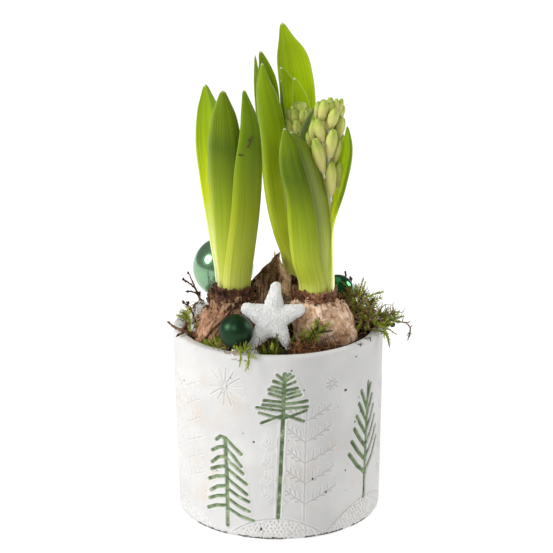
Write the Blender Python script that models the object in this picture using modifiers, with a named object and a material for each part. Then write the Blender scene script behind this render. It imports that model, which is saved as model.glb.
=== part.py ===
"""Three forced hyacinths in a white pot, dressed for Christmas. Millimetres here, metres in the meshes.

x runs to the right, y away from the viewer, z up; the origin is the middle of the pot's flat foot.
"""
import math

import bmesh
import bpy
import numpy as np
from mathutils import Matrix, Vector, noise

MM = 0.001
GAP = 0.3

POT_HEIGHT = 146.0
POT_TOP_RADIUS = 80.0
POT_FOOT_RADIUS = 77.4
POT_WALL = 8.0
POT_FLOOR = 12.0
POT_FOOT_ROUND = 3.5
POT_LIP_ROUND = 2.4
SOIL_TOP = 141.0
PICK_FOOT_Z = 100.0
BULB_FOOT_Z = 127.5
BULB_TOP_Z = 173.4
SKIN_RADIUS = 14.5
LEAF_FOOT_Z = BULB_TOP_Z + GAP
NECK_Z = 185.0
LARGE_BAUBLE_RADIUS = 24.2
SMALL_BAUBLE_RADIUS = 12.7
STAR_REACH = 26.5
STAR_WAIST = 11.6
STAR_DEPTH = 8.4
STAR_ROUND = 2.2
LEAF_THICKNESS = 2.0

for old in list(bpy.data.objects):
    bpy.data.objects.remove(old, do_unlink=True)
plant = bpy.data.collections.new("potted_hyacinth")
cutters = bpy.data.collections.new("cutters")
bpy.context.scene.collection.children.link(plant)
bpy.context.scene.collection.children.link(cutters)


def paint(name, colour, rough=0.6, metal=0.0):
    material = bpy.data.materials.new(name)
    material.use_nodes = True
    shader = material.node_tree.nodes["Principled BSDF"]
    shader.inputs["Base Color"].default_value = (*colour, 1)
    shader.inputs["Roughness"].default_value = rough
    shader.inputs["Metallic"].default_value = metal
    return material


COLOURS = {
    "pot": ((0.84, 0.83, 0.80), 0.75, 0),
    "soil": ((0.06, 0.035, 0.02), 0.95, 0),
    "bulb": ((0.42, 0.25, 0.15), 0.7, 0),
    "skin": ((0.25, 0.13, 0.07), 0.8, 0),
    "leaf": ((0.24, 0.42, 0.03), 0.4, 0),
    "flower": ((0.52, 0.58, 0.20), 0.5, 0),
    "mint": ((0.36, 0.60, 0.42), 0.2, 0.6),
    "green": ((0.02, 0.14, 0.05), 0.35, 0.5),
    "shine": ((0.02, 0.25, 0.06), 0.08, 0.9),
    "metal": ((0.7, 0.7, 0.68), 0.3, 1),
    "frost": ((0.92, 0.92, 0.90), 0.6, 0),
    "moss": ((0.15, 0.20, 0.03), 0.9, 0),
    "wood": ((0.13, 0.07, 0.04), 0.85, 0),
}


def place(name, data, look, home=plant, at=(0, 0, 0)):
    obj = bpy.data.objects.new(name, data)
    obj.location = Vector(at) * MM
    home.objects.link(obj)
    if home is cutters:
        obj.hide_render = True
        obj.display_type = "WIRE"
    elif look:
        data.materials.append(paint(name, *COLOURS[look]))
    return obj


def add(name, bm, look, home=plant, at=(0, 0, 0), sharp=None):
    """Turns a bmesh in millimetres into an object in metres."""
    mesh = bpy.data.meshes.new(name)
    bm.to_mesh(mesh)
    bm.free()
    mesh.transform(Matrix.Scale(MM, 4))
    mesh.shade_smooth()
    if sharp:
        mesh.set_sharp_from_angle(angle=math.radians(sharp))
    return place(name, mesh, look, home, at)


def bake(obj):
    """Replaces an object's mesh or curve by the mesh that its modifiers make of it."""
    bpy.context.view_layer.update()
    graph = bpy.context.evaluated_depsgraph_get()
    mesh = bpy.data.meshes.new_from_object(obj.evaluated_get(graph))
    bm = bmesh.new()
    bm.from_mesh(mesh)
    bmesh.ops.remove_doubles(bm, verts=bm.verts, dist=1e-6)
    bmesh.ops.recalc_face_normals(bm, faces=bm.faces)
    bm.to_mesh(mesh)
    bm.free()
    name, home = obj.name, obj.users_collection[0]
    look = [m for m in obj.data.materials]
    new = bpy.data.objects.new(name, mesh)
    new.matrix_world = obj.matrix_world
    new.hide_render, new.display_type = obj.hide_render, obj.display_type
    bpy.data.objects.remove(obj, do_unlink=True)
    new.name = name
    home.objects.link(new)
    if look and not mesh.materials:
        mesh.materials.append(look[0])
    return new


def boolean(obj, other, operation="DIFFERENCE"):
    mod = obj.modifiers.new("cut", "BOOLEAN")
    mod.solver = "EXACT"
    mod.operation = operation
    if isinstance(other, bpy.types.Collection):
        mod.operand_type = "COLLECTION"
        mod.collection = other
    else:
        mod.object = other
    return obj


def turned(name, profile, look, turns=40, at=(0, 0, 0), home=plant):
    """A turned shape: (radius, z) points from the axis over the top, down the outside, to the axis."""
    bm = bmesh.new()
    points = [bm.verts.new((radius, 0, z)) for radius, z in profile]
    for a, b in zip(points, points[1:]):
        bm.edges.new((a, b))
    obj = add(name, bm, look, home, at)
    screw = obj.modifiers.new("turn", "SCREW")
    screw.axis = "Z"
    screw.steps = screw.render_steps = turns
    screw.use_merge_vertices = True
    screw.merge_threshold = 0.00001
    screw.use_smooth_shade = True
    return obj


def leaned(obj, foot, neck, z0=128.0, z1=173.0):
    """Shears a turned shape so that its axis passes foot (x, y) at z0 and neck (x, y) at z1."""
    obj = bake(obj)
    kx, ky = (neck[0] - foot[0]) / (z1 - z0), (neck[1] - foot[1]) / (z1 - z0)
    shear = Matrix(((1, 0, kx, (foot[0] - kx * z0) * MM), (0, 1, ky, (foot[1] - ky * z0) * MM),
                    (0, 0, 1, 0), (0, 0, 0, 1)))
    obj.data.transform(shear)
    return obj


def ball(bm, centre, radii, rings=8, turns=12, axis=None, rough=0.0, seed=0):
    """An ellipsoid whose long way lies along `axis`, roughened by noise if asked."""
    turn = Vector(axis).to_track_quat("Z", "X").to_matrix().to_4x4() if axis else Matrix()
    where = Matrix.Translation(Vector(centre)) @ turn
    made = bmesh.ops.create_uvsphere(bm, u_segments=turns, v_segments=rings, radius=1.0)
    for v in made["verts"]:
        p = Vector((v.co.x * radii[0], v.co.y * radii[1], v.co.z * radii[2]))
        if rough:
            p *= 1 + rough * noise.noise(v.co * 1.9 + Vector((seed, 0, 0)))
        v.co = where @ p


def rod(name, path, radii, look, home=plant, sides=1):
    """A wire, stem or twig: a bevelled curve with filled ends, made a mesh."""
    curve = bpy.data.curves.new(name, "CURVE")
    curve.dimensions = "3D"
    curve.bevel_depth = MM
    curve.bevel_resolution = sides
    curve.use_fill_caps = True
    spline = curve.splines.new("POLY")
    spline.points.add(len(path) - 1)
    for i, p in enumerate(path):
        spline.points[i].co = (*(Vector(p) * MM), 1)
        spline.points[i].radius = radii[i] if isinstance(radii, (list, tuple)) else radii
    return bake(place(name, curve, look, home))


def keep_outer_shell(obj):
    """Bakes the modifiers and drops the small shells that unions shut inside or cut off."""
    bpy.context.view_layer.update()
    baked = obj.evaluated_get(bpy.context.evaluated_depsgraph_get())
    bm = bmesh.new()
    bm.from_mesh(baked.to_mesh())
    left = set(bm.verts)
    shells = []
    while left:
        shell, front = set(), [left.pop()]
        while front:
            v = front.pop()
            shell.add(v)
            for edge in v.link_edges:
                other = edge.other_vert(v)
                if other in left:
                    left.discard(other)
                    front.append(other)
        shells.append(shell)
    shells.sort(key=len)
    for shell in shells[:-1]:
        bmesh.ops.delete(bm, geom=list(shell), context="VERTS")
    obj.modifiers.clear()
    bm.to_mesh(obj.data)
    bm.free()
    return obj


def union(obj, pieces):
    """Joins an object with others into one body."""
    group = bpy.data.collections.new(obj.name + "_pieces")
    cutters.children.link(group)
    for piece in pieces:
        cutters.objects.unlink(piece)
        group.objects.link(piece)
    return boolean(obj, group, "UNION") if pieces else obj


def smooth(at, rows, column):
    """A smooth curve through one column of rows that are sorted by their first number."""
    s = [row[0] for row in rows]
    v = [row[column] for row in rows]
    if column == 3:
        v = [w * w for w in v]
    rate = [(v[i + 1] - v[i]) / (s[i + 1] - s[i]) for i in range(len(s) - 1)]
    slope = [rate[0]]
    for i in range(1, len(rate)):
        a, b = s[i] - s[i - 1], s[i + 1] - s[i]
        slope.append((rate[i - 1] * b + rate[i] * a) / (a + b))
    slope.append(rate[-1])
    i = max(j for j in range(len(rate)) if at >= s[j] or j == 0)
    h = s[i + 1] - s[i]
    t = min(max((at - s[i]) / h, 0), 1)
    value = (
        v[i] * (2 * t**3 - 3 * t * t + 1) + slope[i] * h * (t**3 - 2 * t * t + t)
        + v[i + 1] * (3 * t * t - 2 * t**3) + slope[i + 1] * h * (t**3 - t * t)
    )
    return math.sqrt(max(value, 0)) if column == 3 else value


def leaf_point(leaf, t, u):
    """A point of a channelled leaf's outer face: t from foot to tip, u across it from -1 to 1."""
    rows, turn, cup = leaf
    rows = [(LEAF_FOOT_Z, *rows[0][1:]), (NECK_Z, *rows[0][1:])] + rows[1:]
    z0, z1 = rows[0][0], rows[-1][0]

    def middle(k):
        z = z0 + (z1 - z0) * k
        return Vector((smooth(z, rows, 1), smooth(z, rows, 2), z))

    centre = middle(t)
    along = (middle(min(t + 0.01, 1)) - middle(max(t - 0.01, 0))).normalized()
    along = Vector((0, 0, 1)).lerp(along, min(t * 9, 1)).normalized()
    a = math.radians(turn[0] + (turn[1] - turn[0]) * t)
    out = Vector((math.sin(a), -math.cos(a), 0))
    out = (out - along * out.dot(along)).normalized()
    side = along.cross(out)
    bend = cup[0] + (cup[1] - cup[0]) * t * 2 if t < 0.5 else cup[1] + (cup[2] - cup[1]) * (2 * t - 1) ** 2
    bend = math.radians(bend)
    half = max(smooth(z0 + (z1 - z0) * t, rows, 3) / 2, 0.4)
    radius = half / math.sin(bend)
    angle = u * bend
    return centre + side * (radius * math.sin(angle)) + out * (radius * (math.cos(angle) - math.cos(bend)))


# rows of height, x, y and width across the leaf; then the way its back faces at foot and tip,
# counted from the front towards the right; then half the angle its channel spans, foot to tip
LEAVES = {
    "leaf_left_front_right": (
        [(174, -30.4, -27.7, 22.5), (212, -27.5, -32.5, 22.6), (243, -23.5, -37, 22), (271, -21.4, -38.5, 21.3),
         (313, -19, -37, 13.3), (334.7, -23.8, -34.5, 0)], (25, 8), (62, 40, 60)),
    "leaf_left_front_left": (
        [(174, -35.9, -25.8, 19), (221, -35.2, -28, 28), (255, -35.6, -29.5, 31.5),
         (304, -38.2, -29.5, 23), (333, -39, -28.5, 0)], (-35, -8), (62, 45, 60)),
    "leaf_left_back_left": (
        [(174, -37.8, -15.2, 19), (216, -40, -13.5, 23), (262, -45.5, -11.5, 25), (290, -48, -11.5, 25),
         (320, -50.3, -12.5, 15.5), (334.2, -52.1, -13, 0)], (-145, -155), (50, 48, 55)),
    "leaf_left_back_right": (
        [(174, -25.8, -17.2, 14.5), (225, -22.5, -10, 22), (270, -20, -4, 20), (300, -19, -1, 0)],
        (118, 140), (42, 45, 55)),
    "leaf_right_front_left": (
        [(174, 25.5, -30, 22.2), (205, 21.2, -36.5, 23), (230, 18.6, -39.5, 23), (259, 15.5, -41, 20),
         (282, 10, -41, 18), (294, 8.5, -40.5, 14.5), (307.2, 5.4, -39.5, 0)], (-25, -15), (60, 42, 60)),
    "leaf_right_front_wide": (
        [(174, 31, -27.4, 18), (223, 25.4, -30, 30), (255, 20.5, -31.5, 31),
         (285, 14, -32.5, 25), (303, 9.8, -33, 0)], (20, 5), (65, 42, 50)),
    "leaf_right_side": (
        [(174, 37.4, -22.5, 19.5), (231, 42.4, -21.5, 18), (270, 49.4, -24.5, 15.5), (291, 50.8, -25.5, 11),
         (303, 51, -27, 0)], (100, 110), (50, 35, 50)),
    "leaf_right_back": (
        [(174, 24.9, -15.9, 17.5), (230, 18, -8, 17), (270, 16.5, -5, 14), (293, 19.5, -4, 11),
         (305, 23, -4, 8.5), (317, 29, -4.5, 0)], (-150, -120), (45, 40, 50)),
    "leaf_right_inner": (
        [(174, 20.7, -22.4, 10), (230, 15, -20, 10), (275, 14, -17, 8), (300, 15.5, -15, 0)],
        (-100, -110), (30, 35, 45)),
    "leaf_back_front_left": (
        [(174, 13.6, 14.5, 17), (222, 4.6, 11, 17), (257, -0.8, 9, 18.4), (299, -3.5, 8, 19.8),
         (312, -5.8, 8, 18.5), (333, -9.7, 8, 10), (345.5, -10.7, 8, 0)], (-14, -12), (48, 40, 60)),
    "leaf_back_left": (
        [(174, 9.2, 25.6, 11.3), (222, 3.5, 24, 15), (257, -1, 23, 18), (299, -5.5, 22, 19.5),
         (326, -7.2, 21, 16.8), (343, -9.6, 20.5, 9.5), (352.2, -12.2, 20, 0)], (-120, -165), (38, 42, 55)),
    "leaf_back_narrow": (
        [(174, 5.3, 23.8, 10.5), (222, -4, 28, 12), (270, -10, 31, 13), (310, -13, 31, 13),
         (330, -14.8, 30.5, 8.5), (347, -16, 30, 0)], (-100, -125), (28, 35, 50)),
    "leaf_back_tall": (
        [(174, 17.2, 28.4, 18.4), (222, 19, 34.5, 22.5), (290, 17.2, 38, 25.8), (327, 14.6, 38, 26.6),
         (342, 12.2, 37.5, 24.4), (358, 7.6, 36, 14.4), (371, 4.1, 34, 0)], (165, 175), (55, 40, 45)),
    "leaf_back_hooded": (
        [(174, 16.2, 30, 7.6), (222, 17, 32, 10.5), (275, 13.2, 32.6, 13.4), (305, 11.5, 32, 13.5),
         (328, 7.8, 31, 10), (338.4, 3, 28, 0)], (175, 178), (25, 38, 60)),
    "leaf_back_right": (
        [(174, 22.4, 24.2, 11), (222, 25, 24.5, 13.6), (265, 24.2, 25, 15.6), (300, 20, 26, 16.8),
         (318, 17, 25, 12), (331, 13, 24, 0)], (108, 160), (38, 38, 50)),
    "leaf_back_slender": (
        [(174, 9.2, 18.8, 4.4), (230, 6.4, 15.8, 6), (270, 5.5, 15, 6), (300, 5, 14.5, 5.5),
         (320, 3.5, 14, 4.4), (331.5, 3.2, 13, 0)], (-60, -60), (16, 30, 50)),
}


def leaf(name, shape, rows=9, across=4):
    """A leaf: a grid bent into its channel, thickened inwards and thinner at its edges."""
    bm = bmesh.new()
    bmesh.ops.create_grid(bm, x_segments=across, y_segments=rows, size=1.0)
    thick = bm.verts.layers.deform.new("thickness")
    for v in bm.verts:
        u, t = v.co.x, 1 - (0.5 - v.co.y / 2) ** 1.25
        v[thick][0] = (1 - 0.6 * u * u) * (1 - 0.5 * t**6)
        v.co = leaf_point(shape, t, u)
    obj = add(name, bm, "leaf")
    obj.vertex_groups.new(name="thickness")
    solid = obj.modifiers.new("thickness", "SOLIDIFY")
    solid.thickness = LEAF_THICKNESS * MM
    solid.offset = -1
    solid.vertex_group = "thickness"
    solid.thickness_vertex_group = 0.0
    solid.use_even_offset = False
    return obj


for leaf_name, leaf_shape in LEAVES.items():
    leaf(leaf_name, leaf_shape)

# ---- pot and soil
drop = (POT_TOP_RADIUS - POT_FOOT_RADIUS) / POT_HEIGHT


def wall(z, inset=0.0):
    return POT_FOOT_RADIUS + drop * z - inset


def bend(radius, z, size, start, stop, steps=3):
    return [
        (radius + size * math.cos(a), z + size * math.sin(a))
        for a in (math.radians(start + (stop - start) * i / steps) for i in range(steps + 1))
    ]


LIP_Z = POT_HEIGHT - POT_LIP_ROUND
FLOOR_EDGE = wall(12, POT_WALL) - 8
pot = turned("pot", [(0, POT_FLOOR), (FLOOR_EDGE, POT_FLOOR), (wall(20, POT_WALL), 20)]
       + bend(wall(POT_HEIGHT, POT_WALL) + POT_LIP_ROUND, LIP_Z, POT_LIP_ROUND, 180, 90)
       + bend(wall(POT_HEIGHT) - POT_LIP_ROUND, LIP_Z, POT_LIP_ROUND, 90, 0)
       + bend(wall(0) - POT_FOOT_ROUND, POT_FOOT_ROUND, POT_FOOT_ROUND, 0, -90) + [(0, 0)], "pot", 56)
# trees pressed into the wall: kind, degrees round from the front, height of the foot, and height of the tree
TREES = [("spruce", -30, 8.5, 71), ("pine", 1.6, 19, 118), ("feather", 56.5, 22, 91), ("spruce", 104, 12, 71),
         ("pine", 150, 17, 118), ("feather", -112, 19, 91), ("spruce", -154, 12, 71)]
GROOVE_RADIUS = 1.25
DEGREE = math.radians(1) * (POT_TOP_RADIUS + POT_FOOT_RADIUS) / 2

# three boughs of each kind, by the share of the tree's height where they leave the trunk, how far they
# reach, and how much higher they end
BOUGHS = {
    "spruce": [(0.87, 9, -8), (0.56, 16, -8), (0.24, 21, -8)],
    "pine": [(0.70, 17, 0), (0.82, 12, 6), (0.93, 5, 7)],
    "feather": [(0.20, 17, 24), (0.43, 13, 21), (0.66, 8, 18)],
}


def on_wall(degrees, z):
    a = math.radians(degrees)
    return (wall(z) * math.sin(a), -wall(z) * math.cos(a), z)


grooves = bpy.data.collections.new("grooves")
cutters.children.link(grooves)
for tree, (kind, middle, foot_z, tall) in enumerate(TREES):
    lines = [[(middle, foot_z + tall * share) for share in (0, 0.33, 0.67, 1)]]
    for share, reach, rise in BOUGHS[kind]:
        for side in (-1, 1):
            low = foot_z + tall * share - 1.3 * side
            lines.append([(middle + side * reach * part / DEGREE, low + rise * part) for part in (-0.07, 0.5, 1)])
    for number, line in enumerate(lines):
        groove = rod("groove_%d_%d" % (tree, number), [on_wall(*spot) for spot in line],
                     GROOVE_RADIUS - 0.12 * (number > 0) - 0.03 * (number % 2), None, cutters)
        cutters.objects.unlink(groove)
        grooves.objects.link(groove)
boolean(pot, grooves)

soil = turned("soil", [
    (0, SOIL_TOP + 2), (30, SOIL_TOP + 2), (62, SOIL_TOP + 1), (wall(SOIL_TOP, POT_WALL) - GAP, SOIL_TOP - 1),
    (wall(20, POT_WALL) - GAP, 20.2), (FLOOR_EDGE - GAP, POT_FLOOR + GAP), (0, POT_FLOOR + GAP)], "soil", 56)

# foot (x, y), widest radius, neck (x, y)
BULBS = {
    "left": ((-42, -21), 23.4, (-33, -22)),
    "right": ((39.5, -24), 23.2, (29, -24)),
    "back": ((3, 29), 23.8, (15.5, 22)),
}


def bulb_profile(widest, extra=0.0):
    high = [(0.70, 18), (0.86, 13), (0.97, 6), (1, -1), (0.93, -11), (0.72, -18), (0.42, -21.6)]
    points = [(0, BULB_TOP_Z + extra), (12.9 + extra, BULB_TOP_Z + extra), (13.6 + extra, 171.2)]
    points += [(k * widest + extra, 150 + z) for k, z in high]
    return points + [(0, 127.5 - extra)]


for side, (foot, widest, neck) in BULBS.items():
    leaned(turned("bulb_" + side, bulb_profile(widest), "bulb", 24), foot, neck)
    boolean(soil, leaned(turned("seat_" + side, bulb_profile(widest, GAP), None, 24, home=cutters), foot, neck))


# ---- dry skins round the necks
def neck_skin(name, x, y, seed, low=171.0, high=182.0):
    """A ragged sleeve of dry skin that stands round the foot of the leaves."""
    bm = bmesh.new()
    bmesh.ops.create_cone(bm, cap_ends=False, segments=22, radius1=1, radius2=1, depth=2)
    bmesh.ops.subdivide_edges(bm, edges=[e for e in bm.edges if abs(e.verts[0].co.z - e.verts[1].co.z) > 1], cuts=1)
    for v in bm.verts:
        a, up = math.atan2(v.co.y, v.co.x), (v.co.z + 1) / 2
        spread = noise.noise(Vector((math.cos(a) * 1.3, math.sin(a) * 1.3, seed)))
        top = high + 3.2 * math.sin(5 * a + seed) + 4 * spread
        radius = SKIN_RADIUS + 1.5 + (1.4 + 1.2 * spread) * up
        v.co = (x + radius * math.cos(a), y + radius * math.sin(a), low + (top - low) * up)
    bmesh.ops.recalc_face_normals(bm, faces=bm.faces)
    obj = add(name, bm, "skin")
    solid = obj.modifiers.new("thickness", "SOLIDIFY")
    solid.thickness = 1.2 * MM
    solid.offset = -1
    return obj


neck_skin("neck_skin_left", -33, -22, 1.7)
neck_skin("neck_skin_right", 29, -24, 4.1)
neck_skin("neck_skin_back", 15.5, 22, 7.3)

# the torn outer skin that stands off the back bulb on its left
bm = bmesh.new()
bmesh.ops.create_grid(bm, x_segments=4, y_segments=4, size=1.0)
for v in bm.verts:
    u, t = (v.co.x + 1) / 2, (v.co.y + 1) / 2
    low, high = 149 + 9 * u, 166 + 33 * math.sin(1.45 * u)
    v.co = (-26 + 24 * u + 4 * t * t - 2 * t, 10.6 - 12 * u * (1.25 - u) * 1.6 + 2.5 * t, low + (high - low) * t)
torn = add("torn_skin_back", bm, "skin")
solid = torn.modifiers.new("thickness", "SOLIDIFY")
solid.thickness = 1.2 * MM
solid.offset = 0

# ---- flower spikes: a stem, and buds turned up round it
def spike(name, stem, radii, core, buds):
    """stem = points of its axis; core = the filled heart (x, y, z, radius, half height); buds = (x, y, z of
    the middle, width, length) that lean away from the stem."""
    pieces = []
    for k, (x, y, z, width, length) in enumerate(buds):
        near = min((Vector(p) for p in stem), key=lambda p: abs(p.z - (z - length * 0.3)))
        axis = Vector((0, 0, 1)) + Vector((x - near.x, y - near.y, 0)) * (0.62 / 13)
        bm = bmesh.new()
        ball(bm, (x, y, z), (width / 2, width / 2, length / 2), 6, 8, axis)
        pieces.append(add("%s_bud_%d" % (name, k), bm, None, cutters))
    bm = bmesh.new()
    ball(bm, core[:3], (core[3], core[3], core[4]), 6, 10)
    pieces.append(add(name + "_core", bm, None, cutters))
    return keep_outer_shell(union(rod(name, stem, radii, "flower"), pieces))


def ring_of_buds(x, y, z, count, reach, width, length, first=0.0, span=360.0):
    return [
        (x + reach * math.sin(a), y - reach * math.cos(a), z, width, length)
        for a in (math.radians(first + span * i / count) for i in range(count))
    ]


spike("flower_spike_right", [(29, -24, 173.7), (29, -24, 182), (33, -22, 220), (38, -20, 255), (38.5, -19, 290),
                             (37, -19, 318)], [4.4, 4.4, 4.4, 4.2, 3.8, 3.0], (37.8, -19, 290, 8.6, 28),
      ring_of_buds(38, -19.5, 265, 4, 3.6, 9.0, 24, 10) + ring_of_buds(38, -19, 281, 5, 5.0, 10.0, 25, -30)
      + ring_of_buds(37.0, -19, 297, 6, 7.2, 10.0, 24, 5) + ring_of_buds(36.6, -19, 310, 6, 7.0, 9.8, 21, -22)
      + ring_of_buds(37.5, -19, 317, 4, 4.2, 8.6, 15, 20))
spike("flower_spike_back", [(15.5, 22, 173.7), (15.5, 22, 182), (16.5, 20, 240), (17, 17, 290), (17, 17, 306)],
      [3.6, 3.6, 3.6, 3.4, 2.6], (17, 17, 294, 6, 15),
      ring_of_buds(17, 17, 284, 5, 5.0, 7.6, 18, 20) + ring_of_buds(17, 17, 295, 6, 5.6, 8.4, 18, -20)
      + ring_of_buds(17, 17, 304, 5, 4.6, 8.4, 17, 12))
spike("flower_spike_left", [(-33, -22, 173.7), (-33, -22, 182), (-32.5, -21, 225), (-32, -20, 262)],
      [3.4, 3.4, 3.2, 2.2], (-32.2, -20.2, 249, 4.4, 13),
      ring_of_buds(-32.4, -20.5, 240, 5, 3.9, 6.0, 14, 0) + ring_of_buds(-32.2, -20, 250, 4, 3.4, 6.0, 13, 30)
      + ring_of_buds(-32, -20, 258, 3, 2.4, 5.6, 12, 0))

# ---- baubles on wire picks
def bauble(name, x, y, z, radius, look):
    """A glass ball standing neck down on a wire pick pushed into the soil."""
    bm = bmesh.new()
    bmesh.ops.create_uvsphere(bm, u_segments=22, v_segments=12, radius=radius)
    add(name, bm, look, at=(x, y, z))
    cap, top = 0.16 * radius + 1.6, z - radius - 3.9
    bm = bmesh.new()
    bmesh.ops.create_cone(bm, cap_ends=True, segments=14, radius1=cap, radius2=cap, depth=3.9 - GAP)
    add(name + "_cap", bm, "metal", at=(x, y, top + (3.9 - GAP) / 2), sharp=40)
    rod(name + "_pick", [(x, y, PICK_FOOT_Z), (x, y, top - GAP)], 0.7, "metal")
    boolean(soil, rod(name + "_hole", [(x, y, PICK_FOOT_Z - GAP), (x, y, top - GAP)], 1.0, None, cutters))
    if top < SOIL_TOP + 3:
        bm = bmesh.new()
        bmesh.ops.create_cone(bm, cap_ends=True, segments=14, radius1=cap + 0.6, radius2=cap + 0.6, depth=10)
        boolean(soil, add(name + "_dip", bm, None, cutters, (x, y, top + 4.7)))


BAUBLES = [
    (-41.4, 32, 181, LARGE_BAUBLE_RADIUS), (-31, -58.6, 159.2, SMALL_BAUBLE_RADIUS),
    (46, 20, 165, SMALL_BAUBLE_RADIUS),
]
bauble("bauble_mint", *BAUBLES[0], "mint")
bauble("bauble_dark_green", *BAUBLES[1], "green")
bauble("bauble_shiny_green", *BAUBLES[2], "shine")

# ---- frosted star, leaning back between the front bulbs
STAR_MIDDLE = Vector((-2, -45.8, 167))
STAR_UP = Vector((0.06, 0.32, 0.94)).normalized()
STAR_RIGHT = Vector((1, 0, -0.03)).normalized()
STAR_OUT = STAR_RIGHT.cross(STAR_UP).normalized()


outline = []
for arm in range(5):
    for off, reach in ((0, 1.0), (-11, 0.965), (-19, 0.80), (-36, STAR_WAIST / STAR_REACH), (-53, 0.80), (-61, 0.965)):
        a = math.radians(90 - 72 * arm + off)
        outline.append((STAR_REACH * reach * math.cos(a), STAR_REACH * reach * math.sin(a)))
curve = bpy.data.curves.new("star", "CURVE")
curve.dimensions = "2D"
curve.fill_mode = "BOTH"
curve.bevel_depth = STAR_ROUND * MM
curve.bevel_resolution = 1
curve.offset = -STAR_ROUND * MM
curve.extrude = (STAR_DEPTH / 2 - STAR_ROUND) * MM
spline = curve.splines.new("POLY")
spline.points.add(len(outline) - 1)
for i, (a, b) in enumerate(outline):
    spline.points[i].co = (a * MM, b * MM, 0, 1)
spline.use_cyclic_u = True
star = place("star", curve, "frost")
star.matrix_world = Matrix.Translation(STAR_MIDDLE * MM) @ Matrix((STAR_RIGHT, STAR_UP, STAR_OUT)).transposed().to_4x4()
bake(star)
star_foot = STAR_MIDDLE - STAR_UP * (STAR_WAIST + 1.2)
rod("star_pick", [star_foot - STAR_UP * 50, star_foot], 0.7, "metal")
boolean(soil, rod("star_pick_hole", [star_foot - STAR_UP * 50.4, star_foot + STAR_UP], 1.0, None, cutters))

# ---- moss, coir, twigs and artificial snow; each is kept clear of what it lies on
clear_of = bpy.data.collections.new("clear_of")
cutters.children.link(clear_of)


def keep_clear(obj):
    cutters.objects.unlink(obj)
    clear_of.objects.link(obj)


keep_clear(turned("clear_pot", [
    (0, SOIL_TOP + 2.4), (30, SOIL_TOP + 2.4), (62, SOIL_TOP + 1.4), (wall(SOIL_TOP, POT_WALL) - GAP, SOIL_TOP - 0.6),
    (wall(POT_HEIGHT, POT_WALL) - GAP, POT_HEIGHT - 1), (wall(POT_HEIGHT, POT_WALL) + 1, POT_HEIGHT + GAP),
    (wall(POT_HEIGHT) - 1, POT_HEIGHT + GAP), (wall(POT_HEIGHT) + GAP, POT_HEIGHT - 1), (wall(4) + GAP, 4), (0, 4),
], None, 56, home=cutters))
for side, (foot, widest, neck) in BULBS.items():
    keep_clear(leaned(turned("clear_bulb_" + side, bulb_profile(widest, 2 * GAP), None, 24, home=cutters), foot, neck))
for i, (x, y, z, radius) in enumerate(BAUBLES):
    bm = bmesh.new()
    bmesh.ops.create_uvsphere(bm, u_segments=22, v_segments=12, radius=radius + 2 * GAP)
    keep_clear(add("clear_bauble_%d" % i, bm, None, cutters, (x, y, z)))


def cushion(name, look, lumps, seed, rough=0.5):
    """A loose cushion of moss, coir or snow from a few lumps."""
    made = []
    for i, (x, y, z, rx, ry, rz) in enumerate(lumps):
        bm = bmesh.new()
        ball(bm, (x, y, z), (rx, ry, rz), 8, 11, None, rough, seed + i)
        made.append(add(name if i == 0 else "%s_lump_%d" % (name, i), bm, look if i == 0 else None,
                        cutters if i else plant))
    return keep_outer_shell(boolean(union(made[0], made[1:]), clear_of))


cushion("moss_right", "moss", [(60, 0, 159, 9, 12, 12), (66, -13, 152, 10, 10, 11), (73, -8, 152, 8, 9, 8),
                               (82, -7, 151, 7, 8, 6), (90, -7, 149, 6.6, 7, 6.6)], 3, 0.3)
cushion("moss_left", "moss", [(-63.5, -22, 148, 4.2, 5, 9), (-65.5, -19.5, 159, 3.4, 3.6, 7)], 8, 0.3)
cushion("moss_front_left", "moss", [(-47, -48.5, 143, 6.4, 5.6, 6)], 9, 0.3)
cushion("moss_star", "moss", [(-6.5, -64.5, 142.6, 6.4, 4.6, 5), (0, -65, 142, 5, 4, 4.6)], 10, 0.3)
cushion("moss_bulb", "moss", [(22, -54.6, 149, 5.6, 3.6, 6), (28, -54, 156, 4.6, 3.2, 5)], 11, 0.2)
cushion("coir_front", "wood", [(20, -64.5, 140, 10.5, 5, 5), (32, -61, 140, 8, 5.6, 5)], 12, 0.4)
cushion("snow_left", "frost", [(-60, 4, 143, 8, 18, 9), (-62, -8, 149, 5, 7, 8)], 13, 0.3)
cushion("snow_front", "frost", [(-20, -62.5, 141, 6.5, 4.2, 4)], 14, 0.3)


def strand(name, look, runs):
    """A thin stem and its side shoots, each a path with radii."""
    made = [rod(name if i == 0 else "%s_shoot_%d" % (name, i), path, radii, look if i == 0 else None,
                cutters if i else plant) for i, (path, radii) in enumerate(runs)]
    return union(made[0], made[1:])


strand("moss_strand_right", "moss", [
    ([(97.9, -5.5, 151), (99.6, -5, 149.6), (100.3, -5, 142), (99.6, -5, 133)], [1.2, 1.1, 1.0, 0.6])])
strand("moss_strand_rim", "moss", [
    ([(71, -24, 147.7), (77, -27, 147.2), (82.5, -29.6, 142), (84.6, -31, 134)], [1.3, 1.4, 1.2, 0.6])])
strand("moss_strand_front", "moss", [
    ([(-23, -70, 147.8), (-22, -78, 148.2), (-21.5, -82.6, 146), (-21, -83.2, 139)], [1.3, 1.5, 1.4, 0.7])])
strand("twig_left", "wood", [
    ([(-53, 27, 142.9), (-58, 14, 161), (-64, 4, 176), (-68, 0, 189)], [1.4, 1.3, 1.1, 0.5]),
    ([(-62, 7.4, 171), (-66, 4, 179), (-71, 2, 183)], [1.0, 0.9, 0.6]),
])
strand("twig_rim", "wood", [
    ([(-66, -31, 148), (-75, -26, 148.2), (-83, -20, 152)], [1.2, 1.2, 0.6]),
    ([(-72, -27.7, 148.1), (-69, -27, 152), (-68, -29, 156)], [0.9, 0.8, 0.5]),
])
strand("twig_back", "wood", [([(60, 36, 142.9), (58, 33, 160), (56, 31, 181)], [1.1, 1.0, 0.9])])
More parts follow.
